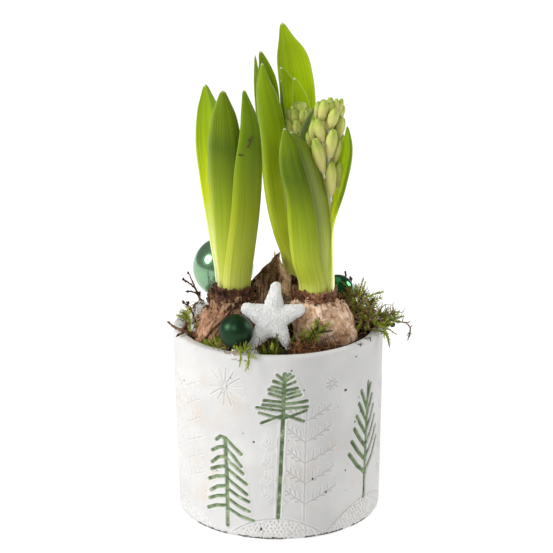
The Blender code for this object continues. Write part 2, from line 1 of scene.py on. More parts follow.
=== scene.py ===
"""How three forced hyacinths in a white pot, dressed for Christmas, look: every visible piece is made here
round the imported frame. Tables are in millimetres, meshes in metres; x runs right, y away, z up, and the
origin is the middle of the pot's flat foot.
"""
import math
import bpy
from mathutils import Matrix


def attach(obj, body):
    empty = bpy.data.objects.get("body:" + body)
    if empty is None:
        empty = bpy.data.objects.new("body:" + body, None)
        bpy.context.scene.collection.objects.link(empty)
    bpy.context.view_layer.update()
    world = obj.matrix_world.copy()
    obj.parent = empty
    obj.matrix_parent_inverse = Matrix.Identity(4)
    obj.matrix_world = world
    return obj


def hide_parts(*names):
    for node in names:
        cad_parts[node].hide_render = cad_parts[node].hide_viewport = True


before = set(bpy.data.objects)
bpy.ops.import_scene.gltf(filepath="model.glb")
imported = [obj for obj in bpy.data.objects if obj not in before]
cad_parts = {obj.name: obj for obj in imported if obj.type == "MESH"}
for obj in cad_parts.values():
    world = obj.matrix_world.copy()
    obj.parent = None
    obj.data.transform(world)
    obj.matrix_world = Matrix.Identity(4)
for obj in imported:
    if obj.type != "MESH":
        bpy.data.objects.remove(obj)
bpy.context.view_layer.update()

import bpy
import numpy as np
from mathutils import Matrix, Vector

MM = 0.001

# ---- camera, light and floor
scene = bpy.context.scene
AIM = Vector((-0.001, 0, 0.183))
CAMERA_AWAY = 1.6
CAMERA_DOWN = math.radians(17.14)
CAMERA_ROLL = math.radians(-0.36)
CAMERA_LENS = 137.56

camera = bpy.data.objects.new("camera", bpy.data.cameras.new("camera"))
scene.collection.objects.link(camera)
scene.camera = camera
camera.location = AIM + CAMERA_AWAY * Vector((0, -math.cos(CAMERA_DOWN), math.sin(CAMERA_DOWN)))
camera.rotation_euler = (math.pi / 2 - CAMERA_DOWN, 0, 0)
camera.data.lens = CAMERA_LENS
camera.data.sensor_width = 36
camera.data.clip_end = 60
turn = Matrix.Rotation(CAMERA_ROLL, 4, "Z")
camera.rotation_euler = (camera.rotation_euler.to_matrix().to_4x4() @ turn).to_euler()

scene.view_settings.view_transform = "Standard"
world = bpy.data.worlds.new("studio")
scene.world = world
world.use_nodes = True
sky = world.node_tree.nodes["Background"].inputs
sky["Color"].default_value = (1.0, 1.0, 1.0, 1)
sky["Strength"].default_value = 0.17


def broad_light(name, way, strength, spread):
    """Even light from far away, soft as from a big window."""
    light = bpy.data.lights.new(name, "SUN")
    light.energy = strength
    light.angle = math.radians(spread)
    obj = bpy.data.objects.new(name, light)
    scene.collection.objects.link(obj)
    obj.rotation_euler = (-Vector(way)).to_track_quat("-Z", "Y").to_euler()


broad_light("key_light", (-0.82, -0.24, 0.53), 2.22, 22)
broad_light("front_light", (-0.22, -0.72, 0.64), 0.80, 14)
broad_light("rim_light", (0.90, 0.38, 0.42), 1.35, 30)
broad_light("top_light", (-0.15, 0.25, 1.0), 0.35, 50)


# ---- shader maths
class Reading:
    """A socket that adds, takes away, multiplies and divides as a number does."""

    def __init__(self, finish, socket):
        self.finish, self.socket = finish, socket

    def calc(self, operation, *values):
        return self.finish.node("ShaderNodeMath", {"operation": operation}, dict(enumerate(values)))

    def __add__(self, other):
        return self.calc("ADD", self, other)

    def __sub__(self, other):
        return self.calc("SUBTRACT", self, other)

    def __mul__(self, other):
        return self.calc("MULTIPLY", self, other)

    def __rsub__(self, other):
        return self.calc("SUBTRACT", other, self)

    __radd__, __rmul__ = __add__, __mul__

    def between(self, low, high):
        """0 below low, 1 above high, smooth on the way; the other way round where low is above high."""
        flip = low > high
        first, last = (high, low) if flip else (low, high)
        eased = self.finish.node("ShaderNodeMapRange", {"interpolation_type": "SMOOTHSTEP"},
                                 {"Value": self, "From Min": first, "From Max": last})
        return 1 - eased if flip else eased


class Finish:
    """A material of one principled shader, and what colours it."""

    def __init__(self, name, **constants):
        self.material = bpy.data.materials.new(name)
        self.material.use_nodes = True
        self.tree = self.material.node_tree
        self.shader = self.tree.nodes["Principled BSDF"]
        for socket, value in constants.items():
            self.shader.inputs[socket.replace("_", " ")].default_value = value

    def node(self, kind, settings=None, values=None, out=0):
        made = self.tree.nodes.new(kind)
        for key, value in (settings or {}).items():
            if key == "stops":
                self.stops(made.color_ramp, value)
            else:
                setattr(made, key, value)
        for key, value in (values or {}).items():
            if isinstance(value, Reading):
                self.tree.links.new(value.socket, made.inputs[key])
            else:
                made.inputs[key].default_value = value
        return Reading(self, made.outputs[out])

    def stops(self, ramp, stops):
        while len(ramp.elements) < len(stops):
            ramp.elements.new(0.5)
        for element, (place, colour) in zip(ramp.elements, stops):
            element.position = place
            element.color = (*colour, 1)

    def here(self):
        return self.node("ShaderNodeTexCoord", out=3)

    def reading(self, name):
        return self.node("ShaderNodeAttribute", {"attribute_name": name}, out=2)

    def stretched(self, scale, at=None):
        return self.node("ShaderNodeVectorMath", {"operation": "MULTIPLY"}, {0: at or self.here(), 1: scale})

    def cloud(self, scale, detail=3.0, rough=0.55, at=None, distort=0.0):
        return self.node("ShaderNodeTexNoise", None, {
            "Vector": at or self.here(), "Scale": scale, "Detail": detail, "Roughness": rough,
            "Distortion": distort})

    def cells(self, scale, at=None):
        return self.node("ShaderNodeTexVoronoi", None, {"Vector": at or self.here(), "Scale": scale})

    def pair(self, x, y, z=0.0):
        return self.node("ShaderNodeCombineXYZ", None, {0: x, 1: y, 2: z})

    def ramp(self, value, *stops):
        return self.node("ShaderNodeValToRGB", {"stops": stops}, {0: value})

    def mix(self, share, first, second, blend="MIX"):
        values = {0: share}
        for key, colour in ((6, first), (7, second)):
            values[key] = colour if isinstance(colour, Reading) else (*colour, 1)
        return self.node("ShaderNodeMix", {"data_type": "RGBA", "blend_type": blend}, values, out=2)

    def bump(self, height, depth, strength=1.0):
        return self.node("ShaderNodeBump", None, {"Height": height, "Distance": depth, "Strength": strength})

    def wear(self, **feeds):
        for socket, value in feeds.items():
            self.tree.links.new(value.socket, self.shader.inputs[socket.replace("_", " ")])
        return self.material


# ---- finishes
def pot_finish():
    f = Finish("pot_whitewash", Roughness=0.7, Specular_IOR_Level=0.35)
    big, mid, fine = f.cloud(22, 4), f.cloud(90, 5, 0.65), f.cloud(900, 2)
    stain = (f.cloud(26, 6, 0.7, distort=0.6) + f.reading("stain") * 0.16).between(0.53, 0.74)
    white = f.mix(big.between(0.40, 0.62), (0.635, 0.63, 0.62), (0.70, 0.695, 0.68))
    white = f.mix(stain * 0.75, white, (0.655, 0.58, 0.505))
    white = f.mix(mid.between(0.55, 0.75) * 0.4, white, (0.585, 0.575, 0.56))
    # painted shade: the pressed lines and the lower side of the green strokes are darkened
    crease = f.reading("crease")
    white = f.mix(crease * mid.between(0.35, 0.6) * 0.36, white, (0.42, 0.36, 0.30))
    # painted highlight: the burr beside each line is lightened
    white = f.mix(f.reading("ridge") * 0.55, white, (0.82, 0.82, 0.81))
    streak = f.cloud(160, 4, 0.7)
    green = f.mix(streak.between(0.38, 0.62), (0.095, 0.15, 0.066), (0.26, 0.345, 0.18))
    green = f.mix(streak.between(0.58, 0.70) * 0.8, green, (0.62, 0.66, 0.55))
    colour = f.mix(f.reading("paint"), white, green)
    speck = ((f.cloud(520, 3, 0.6) + f.reading("worn") * 0.30).between(0.66, 0.72)
             * f.reading("worn").between(0.02, 0.3))
    colour = f.mix(speck, colour, (0.10, 0.085, 0.075))
    height = fine * 0.25 + mid * 0.75
    return f.wear(Base_Color=colour, Roughness=0.62 + mid * 0.25, Normal=f.bump(height, 0.0005, 0.55))


def leaf_finish(name, foot, low, middle, high, tip, gloss=0.40, sheen=0.28, glow=0.0, flank_highlight=0.0):
    """A blade, paler at its foot; glow is an emission, painted light standing in for what a thin blade lets
    through from behind.
    """
    f = Finish(name, Specular_IOR_Level=sheen, Emission_Strength=glow)
    along, across = f.reading("along"), f.reading("across")
    side = across.calc("ABSOLUTE", across)
    vein = f.cloud(1.0, 3, 0.6, at=f.pair(across * 22, along * 1.8, 0.3))
    thread = f.cloud(1.0, 2, 0.6, at=f.pair(across * 70, along * 3.0, 1.7))
    patch = f.cloud(38, 3, 0.5)
    place = along + (patch - 0.5) * 0.20 + (vein - 0.5) * 0.16
    colour = f.ramp(place, (0.02, foot), (0.20, low), (0.48, middle), (0.74, high), (1.0, tip))
    shade = (vein - 0.5) * 1.15 + (thread - 0.5) * 0.8 + (patch - 0.5) * 0.35
    pale = f.mix(1.0, colour, (1.32, 1.24, 1.5), "MULTIPLY")
    dark = f.mix(1.0, colour, (0.68, 0.75, 0.5), "MULTIPLY")
    colour = f.mix((shade + 0.5).between(0.1, 0.9), dark, pale)
    # painted highlight along the left flank, where the light falls
    if flank_highlight:
        colour = f.mix(across.between(-0.5, -0.92) * flank_highlight, colour,
                       f.mix(1.0, colour, (1.9, 1.75, 2.6), "MULTIPLY"))
    edge = side.between(0.93, 1.0) * along.between(0.35, 0.9)
    colour = f.mix(edge * 0.4, colour, (0.55, 0.64, 0.25))
    colour = f.mix(along.between(0.988, 0.999) * 0.8, colour, (0.72, 0.74, 0.45))
    # painted shade on the blade's far half, for the leaves that glow most
    if glow > 0.3:
        colour = f.mix(across.between(0.0, -0.5) * along.between(0.45, 0.6) * 0.85, colour, (0.11, 0.20, 0.015))
    # painted light: the blade glows in its own colour
    if glow:
        f.wear(Emission_Color=colour)
    return f.wear(Base_Color=colour, Roughness=gloss + (thread - 0.5) * 0.2 + (patch - 0.5) * 0.1,
                  Normal=f.bump(vein * 0.6 + thread * 0.4, 0.0006, 0.5))


# lit and shaded copies of one leaf green: each finish is painted lighter or darker for how the light falls on
# the leaves that wear it; sheen paints a greyish sheen into the colour, and bright and lit also glow with
# painted light
LEAF_FINISHES = {
    "dark": leaf_finish("leaf_dark", (0.58, 0.61, 0.13), (0.41, 0.48, 0.036), (0.22, 0.30, 0.006),
                        (0.082, 0.135, 0.001), (0.15, 0.23, 0.004), 0.34, 0.16, 0.0, 0.8),
    "deep": leaf_finish("leaf_deep", (0.57, 0.60, 0.13), (0.40, 0.46, 0.040), (0.235, 0.30, 0.006),
                        (0.112, 0.185, 0.002), (0.15, 0.24, 0.004), 0.34, 0.16, 0.0, 0.4),
    "half_lit": leaf_finish("leaf_half_lit", (0.62, 0.66, 0.16), (0.50, 0.57, 0.03), (0.49, 0.59, 0.010),
                         (0.26, 0.38, 0.003), (0.23, 0.36, 0.004), 0.36, 0.18),
    "bright": leaf_finish("leaf_bright", (0.74, 0.78, 0.20), (0.62, 0.70, 0.06), (0.56, 0.67, 0.018),
                          (0.36, 0.49, 0.006), (0.30, 0.44, 0.006), 0.40, 0.16, 0.12),
    "sheen": leaf_finish("leaf_sheen", (0.68, 0.70, 0.18), (0.48, 0.55, 0.06), (0.27, 0.34, 0.024),
                         (0.20, 0.26, 0.018), (0.18, 0.26, 0.010), 0.30, 0.5),
    "lit": leaf_finish("leaf_lit", (0.90, 0.94, 0.58), (0.90, 0.95, 0.46), (0.62, 0.72, 0.022),
                       (0.36, 0.50, 0.010), (0.24, 0.37, 0.008), 0.40, 0.16, 0.34),
}


def bulb_finish(name, pale, tan, brown, dark):
    f = Finish(name, Specular_IOR_Level=0.3)
    flake, crease = f.reading("flake"), f.reading("crease")
    around = f.reading("around")
    up = f.node("ShaderNodeSeparateXYZ", None, {0: f.here()}, 2)
    streak = f.cloud(1.0, 4, 0.65, at=f.pair(around * 10 + up * 140, up * 60))
    blotch, fine = f.cloud(85, 5, 0.65, distort=0.8), f.cloud(420, 4, 0.7)
    vein = f.cloud(1.0, 3, 0.6, at=f.pair(around * 34 + up * 420, up * 110))
    place = blotch * 0.5 + streak * 0.3 + vein * 0.2
    colour = f.ramp(place, (0.38, dark), (0.445, brown), (0.50, tan), (0.56, pale), (0.66, pale))
    colour = f.mix(flake * fine.between(0.3, 0.6), colour, brown)
    colour = f.mix(fine.between(0.56, 0.68) * 0.5, colour, dark)
    colour = f.mix(vein.between(0.60, 0.72) * 0.45, colour, pale)
    # painted shade along the creases
    colour = f.mix(crease, colour, dark)
    return f.wear(Base_Color=colour, Roughness=0.5 + fine * 0.3,
                  Normal=f.bump(streak * 0.4 + fine * 0.4 + blotch * 0.5 + vein * 0.4, 0.0011, 0.8))


BULB_FINISHES = {
    "left": bulb_finish("bulb_skin_red", (0.60, 0.35, 0.21), (0.42, 0.215, 0.12), (0.235, 0.105, 0.05),
                        (0.05, 0.020, 0.009)),
    "right": bulb_finish("bulb_skin_tan", (0.95, 0.78, 0.61), (0.86, 0.61, 0.43), (0.60, 0.355, 0.20),
                         (0.23, 0.105, 0.052)),
    "back": bulb_finish("bulb_skin_grey", (0.60, 0.54, 0.42), (0.34, 0.24, 0.15), (0.17, 0.10, 0.055),
                        (0.03, 0.018, 0.009)),
}


def paper_finish(name, pale, brown, dark):
    """Dry papery skin, streaked lengthways."""
    f = Finish(name, Specular_IOR_Level=0.3)
    along, across = f.reading("along"), f.reading("across")
    streak = f.cloud(1.0, 4, 0.7, at=f.pair(across * 30, along * 2.4, 0.5))
    blotch, fine = f.cloud(150, 4, 0.65, distort=0.6), f.cloud(600, 3, 0.6)
    colour = f.ramp(streak * 0.5 + blotch * 0.5, (0.40, dark), (0.49, brown), (0.60, pale))
    colour = f.mix(fine.between(0.52, 0.66) * 0.55, colour, dark)
    return f.wear(Base_Color=colour, Roughness=0.55 + fine * 0.3,
                  Normal=f.bump(streak * 0.7 + fine * 0.5 + blotch * 0.4, 0.0014, 0.9))


def bud_finish():
    f = Finish("flower_bud", Specular_IOR_Level=0.35, Roughness=0.42)
    along, ridge = f.reading("along"), f.reading("ridge")
    patch, blotch = f.cloud(160, 3, 0.5), f.cloud(260, 3, 0.6)
    colour = f.ramp(along + (patch - 0.5) * 0.35, (0.0, (0.66, 0.62, 0.40)), (0.14, (0.58, 0.53, 0.18)),
                    (0.40, (0.63, 0.61, 0.19)), (0.70, (0.59, 0.62, 0.15)), (0.88, (0.46, 0.54, 0.09)),
                    (1.0, (0.34, 0.45, 0.05)))
    colour = f.mix(blotch.between(0.52, 0.68) * 0.4, colour, (0.56, 0.44, 0.20))
    colour = f.mix(ridge * 0.55, colour, (0.36, 0.44, 0.06))
    colour = f.mix(f.reading("pale"), colour, (0.80, 0.79, 0.66))
    return f.wear(Base_Color=colour, Normal=f.bump(patch, 0.0003, 0.3))


def bauble_finish(name, colour, deep, rough, metal, coat, streaks=0.04):
    f = Finish(name, Coat_Roughness=0.08)
    patch = f.cloud(60, 4, 0.6)
    up = f.node("ShaderNodeSeparateXYZ", None, {0: f.here()}, 2)
    tint = f.mix((patch + f.cloud(8, 2) * 0.6).between(0.45, 1.1), colour, deep)
    ripple = f.cloud(300, 3) * 0.5 + f.cloud(1.0, 2, at=f.pair(up * 700, 0.0)) * 0.5
    return f.wear(Base_Color=tint, Roughness=rough + (ripple - 0.5) * streaks,
                  Metallic=metal + (patch - 0.5) * 0.05, Coat_Weight=coat + (patch - 0.5) * 0.05)


def frost_finish(name, tone, speck_share):
    """White glitter and sugar, with a few brown specks; an emission paints glints and a faint glow over it."""
    f = Finish(name, Specular_IOR_Level=0.6, Emission_Strength=0.45)
    grain, fine = f.cells(1500), f.cloud(1300, 2, 0.7)
    mottle = f.cloud(180, 4, 0.6)
    colour = f.mix(mottle.between(0.35, 0.7), tone, (0.93, 0.925, 0.915))
    speck = f.cells(420).between(0.20, 0.12) * f.cloud(110, 1).between(1 - speck_share, 1.02 - speck_share)
    colour = f.mix(speck * 0.75, colour, (0.46, 0.31, 0.22))
    # painted glints: bright emission spots, over a faint emission glow everywhere
    glint = f.cells(560).between(0.20, 0.12) * f.cloud(300, 1).between(0.50, 0.60)
    f.wear(Emission_Color=f.mix(glint, (0.20, 0.20, 0.195), (1, 1, 1)))
    return f.wear(Base_Color=colour, Roughness=0.25 + fine * 0.6, Normal=f.bump(grain + fine, 0.0006, 0.9))


def tuft_finish(name, dark, mid, light, rough=0.8):
    """Moss, coir or twig: each strand has its own shade."""
    f = Finish(name, Specular_IOR_Level=0.25)
    shade = f.reading("shade")
    colour = f.ramp(shade + (f.cloud(350, 3, 0.6) - 0.5) * 0.5, (0.12, dark), (0.5, mid), (0.9, light))
    return f.wear(Base_Color=colour, Roughness=rough + (f.cloud(700, 2) - 0.5) * 0.3,
                  Normal=f.bump(f.cloud(1400, 2), 0.0003, 0.5))


def metal_finish():
    f = Finish("pick_wire", Metallic=1.0)
    scratch = f.cloud(1.0, 3, at=f.stretched((900, 900, 60)))
    return f.wear(Base_Color=f.mix(scratch, (0.60, 0.59, 0.56), (0.80, 0.79, 0.76)),
                  Roughness=0.22 + scratch * 0.25)


PAPER = paper_finish("papery_skin", (0.52, 0.33, 0.19), (0.27, 0.135, 0.068), (0.06, 0.026, 0.011))
PAPER_DARK = paper_finish("papery_skin_dark", (0.19, 0.080, 0.036), (0.075, 0.028, 0.012),
                          (0.018, 0.007, 0.003))
PAPER_RUST = paper_finish("papery_skin_rust", (0.46, 0.235, 0.12), (0.215, 0.088, 0.038), (0.045, 0.017, 0.007))
# paler paper for the right tunic: painted light on the side that gets little of the lamps
PAPER_TAN = paper_finish("papery_skin_tan", (0.84, 0.58, 0.36), (0.60, 0.37, 0.20), (0.15, 0.07, 0.03))
# darker paper: on the left tunic it is painted shade; the back bulb's torn skins wear it too
PAPER_GREY = paper_finish("papery_skin_grey", (0.44, 0.29, 0.17), (0.20, 0.11, 0.055), (0.05, 0.024, 0.011))
BUD = bud_finish()
MINT = bauble_finish("bauble_mint_pearl", (0.30, 0.50, 0.30), (0.20, 0.39, 0.22), 0.20, 0.82, 0.15, 0.05)
DARK = bauble_finish("bauble_green_satin", (0.011, 0.047, 0.016), (0.007, 0.031, 0.010), 0.40, 0.70, 0.0, 0.05)
SHINY = bauble_finish("bauble_green_gloss", (0.03, 0.21, 0.075), (0.014, 0.12, 0.035), 0.06, 0.95, 0.3, 0.02)
FROST = frost_finish("star_frost", (0.80, 0.795, 0.785), 0.58)
SNOW = frost_finish("snow_crystals", (0.78, 0.78, 0.79), 0.3)
MOSS = tuft_finish("moss_green", (0.05, 0.065, 0.006), (0.20, 0.25, 0.018), (0.46, 0.52, 0.07))
MOSS_BROWN = tuft_finish("moss_brown", (0.06, 0.032, 0.012), (0.24, 0.15, 0.06), (0.52, 0.38, 0.19))
COIR = tuft_finish("coir_brown", (0.030, 0.012, 0.005), (0.155, 0.060, 0.021), (0.36, 0.17, 0.065))
EARTH = tuft_finish("potting_soil", (0.014, 0.007, 0.004), (0.058, 0.027, 0.012), (0.13, 0.062, 0.03), 0.9)
TWIG = tuft_finish("twig_bark", (0.045, 0.020, 0.010), (0.15, 0.072, 0.038), (0.30, 0.17, 0.10))
METAL = metal_finish()


# ---- modelling helpers
def only(obj):
    bpy.ops.object.select_all(action="DESELECT")
    obj.select_set(True)
    bpy.context.view_layer.objects.active = obj


def begin():
    """Deselects everything, so that an operator acts on the new piece alone."""
    bpy.ops.object.select_all(action="DESELECT")


def raw(obj):
    """The points of a mesh, in metres."""
    co = np.empty(len(obj.data.vertices) * 3)
    obj.data.vertices.foreach_get("co", co)
    return co.reshape(-1, 3)


def points(obj):
    """The points of a mesh, in millimetres."""
    return raw(obj) / MM


def shape(obj, co):
    obj.data.vertices.foreach_set("co", (np.asarray(co, float) * MM).ravel())
    obj.data.update()


def mark(obj, name, values):
    """Writes one number on every point for a finish to read."""
    data = obj.data.attributes.get(name) or obj.data.attributes.new(name, "FLOAT", "POINT")
    data.data.foreach_set(
        "value", np.broadcast_to(np.asarray(values, np.float32), len(obj.data.vertices)).copy())


def ease(value, low, high):
    """0 below low, 1 above high, smooth on the way."""
    t = np.clip((np.asarray(value, float) - low) / (high - low), 0, 1)
    return t * t * (3 - 2 * t)


def hills(at, size, seed=0):
    """Soft random hills over points, from -1 to 1, about size apart."""
    p = np.asarray(at, float) / size + seed * 7.31 + 1000
    cell = np.floor(p).astype(np.int64)
    f = p - cell
    f = f * f * (3 - 2 * f)
    total = np.zeros(len(p))
    for corner in range(8):
        bits = np.array([corner & 1, corner >> 1 & 1, corner >> 2])
        n = (cell + bits) @ np.array([73856093, 19349663, 83492791])
        n = (n ^ (n >> 13)) & 0xFFFFFF
        n = (n * 1103515245 + 12345) & 0x7FFFFFFF
        n = (n ^ (n >> 11)) & 0xFFFF
        total += (n / 32767.5 - 1) * np.prod(np.where(bits == 1, f, 1 - f), axis=1)
    return total


def rough_hills(at, size, seed=0, layers=3):
    return sum(hills(at, size / 2**k, seed + k) / 2**k for k in range(layers)) / 1.6


def finish_piece(obj, name, material, slot, *nodes):
    """Names a piece, gives it its finish and hands it to the frame."""
    only(obj)
    bpy.ops.object.transform_apply(location=True, rotation=True, scale=True)
    obj.name = obj.data.name = name
    obj.data.materials.clear()
    obj.data.materials.append(material)
    obj.data.shade_smooth()
    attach(obj, "root")
    if nodes:
        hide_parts(*nodes)
    return obj


def apply_modifier(obj, kind, **settings):
    only(obj)
    modifier = obj.modifiers.new(kind.lower(), kind)
    for key, value in settings.items():
        setattr(modifier, key, value)
    bpy.ops.object.modifier_apply(modifier=modifier.name)


def outwards(obj):
    """Turns all faces of a closed shell outwards."""
    only(obj)
    bpy.ops.object.mode_set(mode="EDIT")
    bpy.ops.mesh.select_all(action="SELECT")
    bpy.ops.mesh.normals_make_consistent(inside=False)
    bpy.ops.object.mode_set(mode="OBJECT")


def turned(profile, turns, at=(0, 0)):
    """A turned form: a ring extruded and resized through rows of (radius, z), its ends filled."""
    begin()
    (r, z), x, y = profile[0], at[0] * MM, at[1] * MM
    bpy.ops.mesh.primitive_circle_add(vertices=turns, radius=max(r, 0.05) * MM, location=(x, y, z * MM))
    obj = bpy.context.object
    bpy.ops.object.mode_set(mode="EDIT")
    for (r0, z0), (r1, z1) in zip(profile, profile[1:]):
        k = max(r1, 0.05) / max(r0, 0.05)
        bpy.ops.mesh.extrude_region_move(TRANSFORM_OT_translate={"value": (0, 0, (z1 - z0) * MM)})
        bpy.ops.transform.resize(value=(k, k, 1), center_override=(x, y, z1 * MM))
    bpy.ops.mesh.select_all(action="SELECT")
    bpy.ops.mesh.fill_holes(sides=0)
    bpy.ops.mesh.normals_make_consistent(inside=False)
    bpy.ops.object.mode_set(mode="OBJECT")
    bpy.ops.object.transform_apply(location=True, rotation=True, scale=True)
    return obj


def curve_through(rows, steps):
    """Evenly parted points on a smooth line through rows of numbers."""
    rows = np.asarray(rows, float)
    ends = np.vstack([2 * rows[0] - rows[1], rows, 2 * rows[-1] - rows[-2]])
    made = []
    for k in np.linspace(0, len(rows) - 1 - 1e-9, steps):
        i, t = int(k), k - int(k)
        a, b, c, d = ends[i:i + 4]
        made.append(0.5 * (2 * b + (c - a) * t + (2 * a - 5 * b + 4 * c - d) * t * t
                           + (3 * b - a - 3 * c + d) * t**3))
    return np.array(made)


def stem(path, radii, sides=1):
    """A bent round stem with closed ends, from a bevelled curve."""
    begin()
    data = bpy.data.curves.new("stem", "CURVE")
    data.dimensions = "3D"
    data.bevel_depth = MM
    data.bevel_resolution = sides
    data.use_fill_caps = True
    line = data.splines.new("POLY")
    line.points.add(len(path) - 1)
    radii = np.broadcast_to(radii, len(path))
    for point, place, radius in zip(line.points, path, radii):
        point.co = (*(float(v) * MM for v in place), 1)
        point.radius = float(radius)
    obj = bpy.data.objects.new("stem", data)
    scene.collection.objects.link(obj)
    only(obj)
    bpy.ops.object.convert(target="MESH")
    return bpy.context.object


def joined(parts):
    """Several objects made one; the first gives it its place in the scene."""
    begin()
    for part in parts:
        part.select_set(True)
    bpy.context.view_layer.objects.active = parts[0]
    if len(parts) > 1:
        bpy.ops.object.join()
    return bpy.context.object


def pattern_of(obj):
    """The points and faces of a small piece that is going to be copied; the piece itself goes."""
    faces = [list(p.vertices) for p in obj.data.polygons]
    co, kept = raw(obj), {a.name: np.array([d.value for d in a.data]) for a in obj.data.attributes
                          if a.data_type == "FLOAT" and a.domain == "POINT"}
    bpy.data.objects.remove(obj, do_unlink=True)
    return co, faces, kept


def copies(patterns, places, shades=None):
    """One mesh from copies of small patterns; each place is (pattern number, 4x4 matrix)."""
    co, sizes, loops, shade, count = [], [], [], [], 0
    kept = {key: [] for key in patterns[0][2]}
    for i, (which, matrix) in enumerate(places):
        p, faces, marks = patterns[which]
        m = np.array(matrix)
        co.append(p @ m[:3, :3].T + m[:3, 3])
        for face in faces:
            sizes.append(len(face))
            loops.extend(v + count for v in face)
        for key in kept:
            kept[key].append(marks[key])
        shade.append(np.full(len(p), 0.5 if shades is None else shades[i]))
        count += len(p)
    mesh = bpy.data.meshes.new("copies")
    mesh.vertices.add(count)
    mesh.vertices.foreach_set("co", np.vstack(co).ravel())
    mesh.loops.add(len(loops))
    mesh.loops.foreach_set("vertex_index", loops)
    mesh.polygons.add(len(sizes))
    mesh.polygons.foreach_set("loop_start", np.concatenate([[0], np.cumsum(sizes)[:-1]]).astype(np.int32))
    mesh.update(calc_edges=True)
    obj = bpy.data.objects.new("copies", mesh)
    scene.collection.objects.link(obj)
    mark(obj, "shade", np.concatenate(shade))
    for key, values in kept.items():
        if key != "shade":
            mark(obj, key, np.concatenate(values))
    return obj


def placed(at, direction, length, spin=0.0, width=None):
    """The matrix that lays a pattern one unit long, along +Z, from at (mm) along a direction."""
    turn = Vector(direction).to_track_quat("Z", "X").to_matrix().to_4x4()
    size = Matrix.Diagonal((width or length, width or length, length, 1))
    return Matrix.Translation(Vector(at) * MM) @ turn @ Matrix.Rotation(spin, 4, "Z") @ size


# ---- the pot, with trees, a starburst and dotted snow hills pressed into its wall
POT_HEIGHT, POT_TOP_RADIUS, POT_FOOT_RADIUS, POT_WALL = 146.0, 80.0, 77.4, 8.0
LIP_ROUND, FOOT_ROUND, POT_FLOOR = 2.4, 3.5, 12.0
GIRTH_RADIUS = 78.6
GIRTH = 2 * math.pi * GIRTH_RADIUS
DEGREE = math.radians(1) * GIRTH_RADIUS
LIP_Z = POT_HEIGHT - LIP_ROUND
PAINTED, INCISED, DOTTED, PITTED = range(4)
FAR_OFF = 50.0
marks = []


def wall_radius(z):
    return POT_FOOT_RADIUS + (POT_TOP_RADIUS - POT_FOOT_RADIUS) / POT_HEIGHT * z


def press(kind, half, *path):
    """Presses a line through (degrees round from the front, height) into the wall."""
    spots = [(a * DEGREE, z) for a, z in path]
    for (s0, z0), (s1, z1) in zip(spots, spots[1:] if len(spots) > 1 else spots):
        marks.append((s0, z0, s1, z1, half, kind))


def sway(k):
    """A small hand-made unevenness, -1 to 1."""
    return math.sin(k * 12.9898) * math.cos(k * 4.1414)


def spruce(a, foot, height):
    """A fir with drooping boughs and a bent tip."""
    half = 1.42
    press(PAINTED, half * 1.1, (a, foot), (a + 0.3, foot + height * 0.55), (a - 0.4, foot + height * 0.985))
    top = foot + height
    press(PAINTED, half, (a - 8.5 / DEGREE, top - 3.4), (a - 4.5 / DEGREE, top), (a, top - 0.6),
          (a + 12.5 / DEGREE, top - 11.5))
    for k in range(7):
        up = foot + height * (0.90 - 0.112 * k)
        left, right = 12.6 + 0.9 * k + 1.4 * sway(k), 13.4 + 1.15 * k + 1.6 * sway(k + 4)
        press(PAINTED, half, (a, up), (a - left * 0.55 / DEGREE, up - 2.2),
              (a - left / DEGREE, up - 6.2 - 1.4 * sway(k + 2)))
        up -= 1.5
        press(PAINTED, half * 0.95, (a, up), (a + right * 0.5 / DEGREE, up - 5.2),
              (a + right / DEGREE, up - 12.2 + 0.7 * k + sway(k + 9)))


def pine(a, foot, crown, top):
    """A tall bare trunk under a dense crown in tiers."""
    half = 1.27
    press(PAINTED, half * 1.25, (a - 2.2, foot), (a - 0.6, (foot + crown) / 2), (a + 0.8, crown),
          (a + 1.8, top - 1))
    for k in range(8):
        share = k / 7
        up = crown + 8 + (top - crown - 13) * share
        for side, seed in ((-1, 3), (1, 8)):
            far = (17.6 - 13.0 * share) * (1 + 0.14 * sway(k * 1.3 + seed))
            rise = 0.3 + 3.6 * share + 2.3 * sway(k * 2.1 + seed)
            press(PAINTED, half * (1 - 0.14 * sway(k + seed)), (a + 1.2, up + 0.9 * side),
                  (a + 1.2 + side * far / DEGREE, up + rise + 0.9 * side))
    for end, low, high in ((-16, 4, -2.6), (-17.4, 1, 5.4), (15.5, 4.6, -1.8), (17.4, 1, 6.6)):
        press(PAINTED, half * 0.9, (a + 0.8, crown + low), (a + 0.8 + end / DEGREE, crown + high))


def feather(a, foot, height):
    """A slim tree whose boughs climb like the barbs of a feather."""
    half = 1.5
    press(PAINTED, half * 1.15, (a - 1, foot), (a - 0.6, foot + height * 0.25), (a + 0.4, foot + height * 0.6),
          (a + 1.4, foot + height))
    for k in range(6):
        low = foot + height * (0.20 + 0.115 * k)
        reach = 19.5 - 2.5 * k
        press(PAINTED, half * 1.15, (a + 0.3, low), (a - reach * 0.55 / DEGREE, low + 9.5),
              (a - reach / DEGREE, low + 21 - 1.0 * k))
        press(PAINTED, half * 1.15, (a + 0.3, low + 3), (a + (reach * 0.5) / DEGREE, low + 12),
              (a + (reach - 1.5) / DEGREE, low + 24 - 1.2 * k))


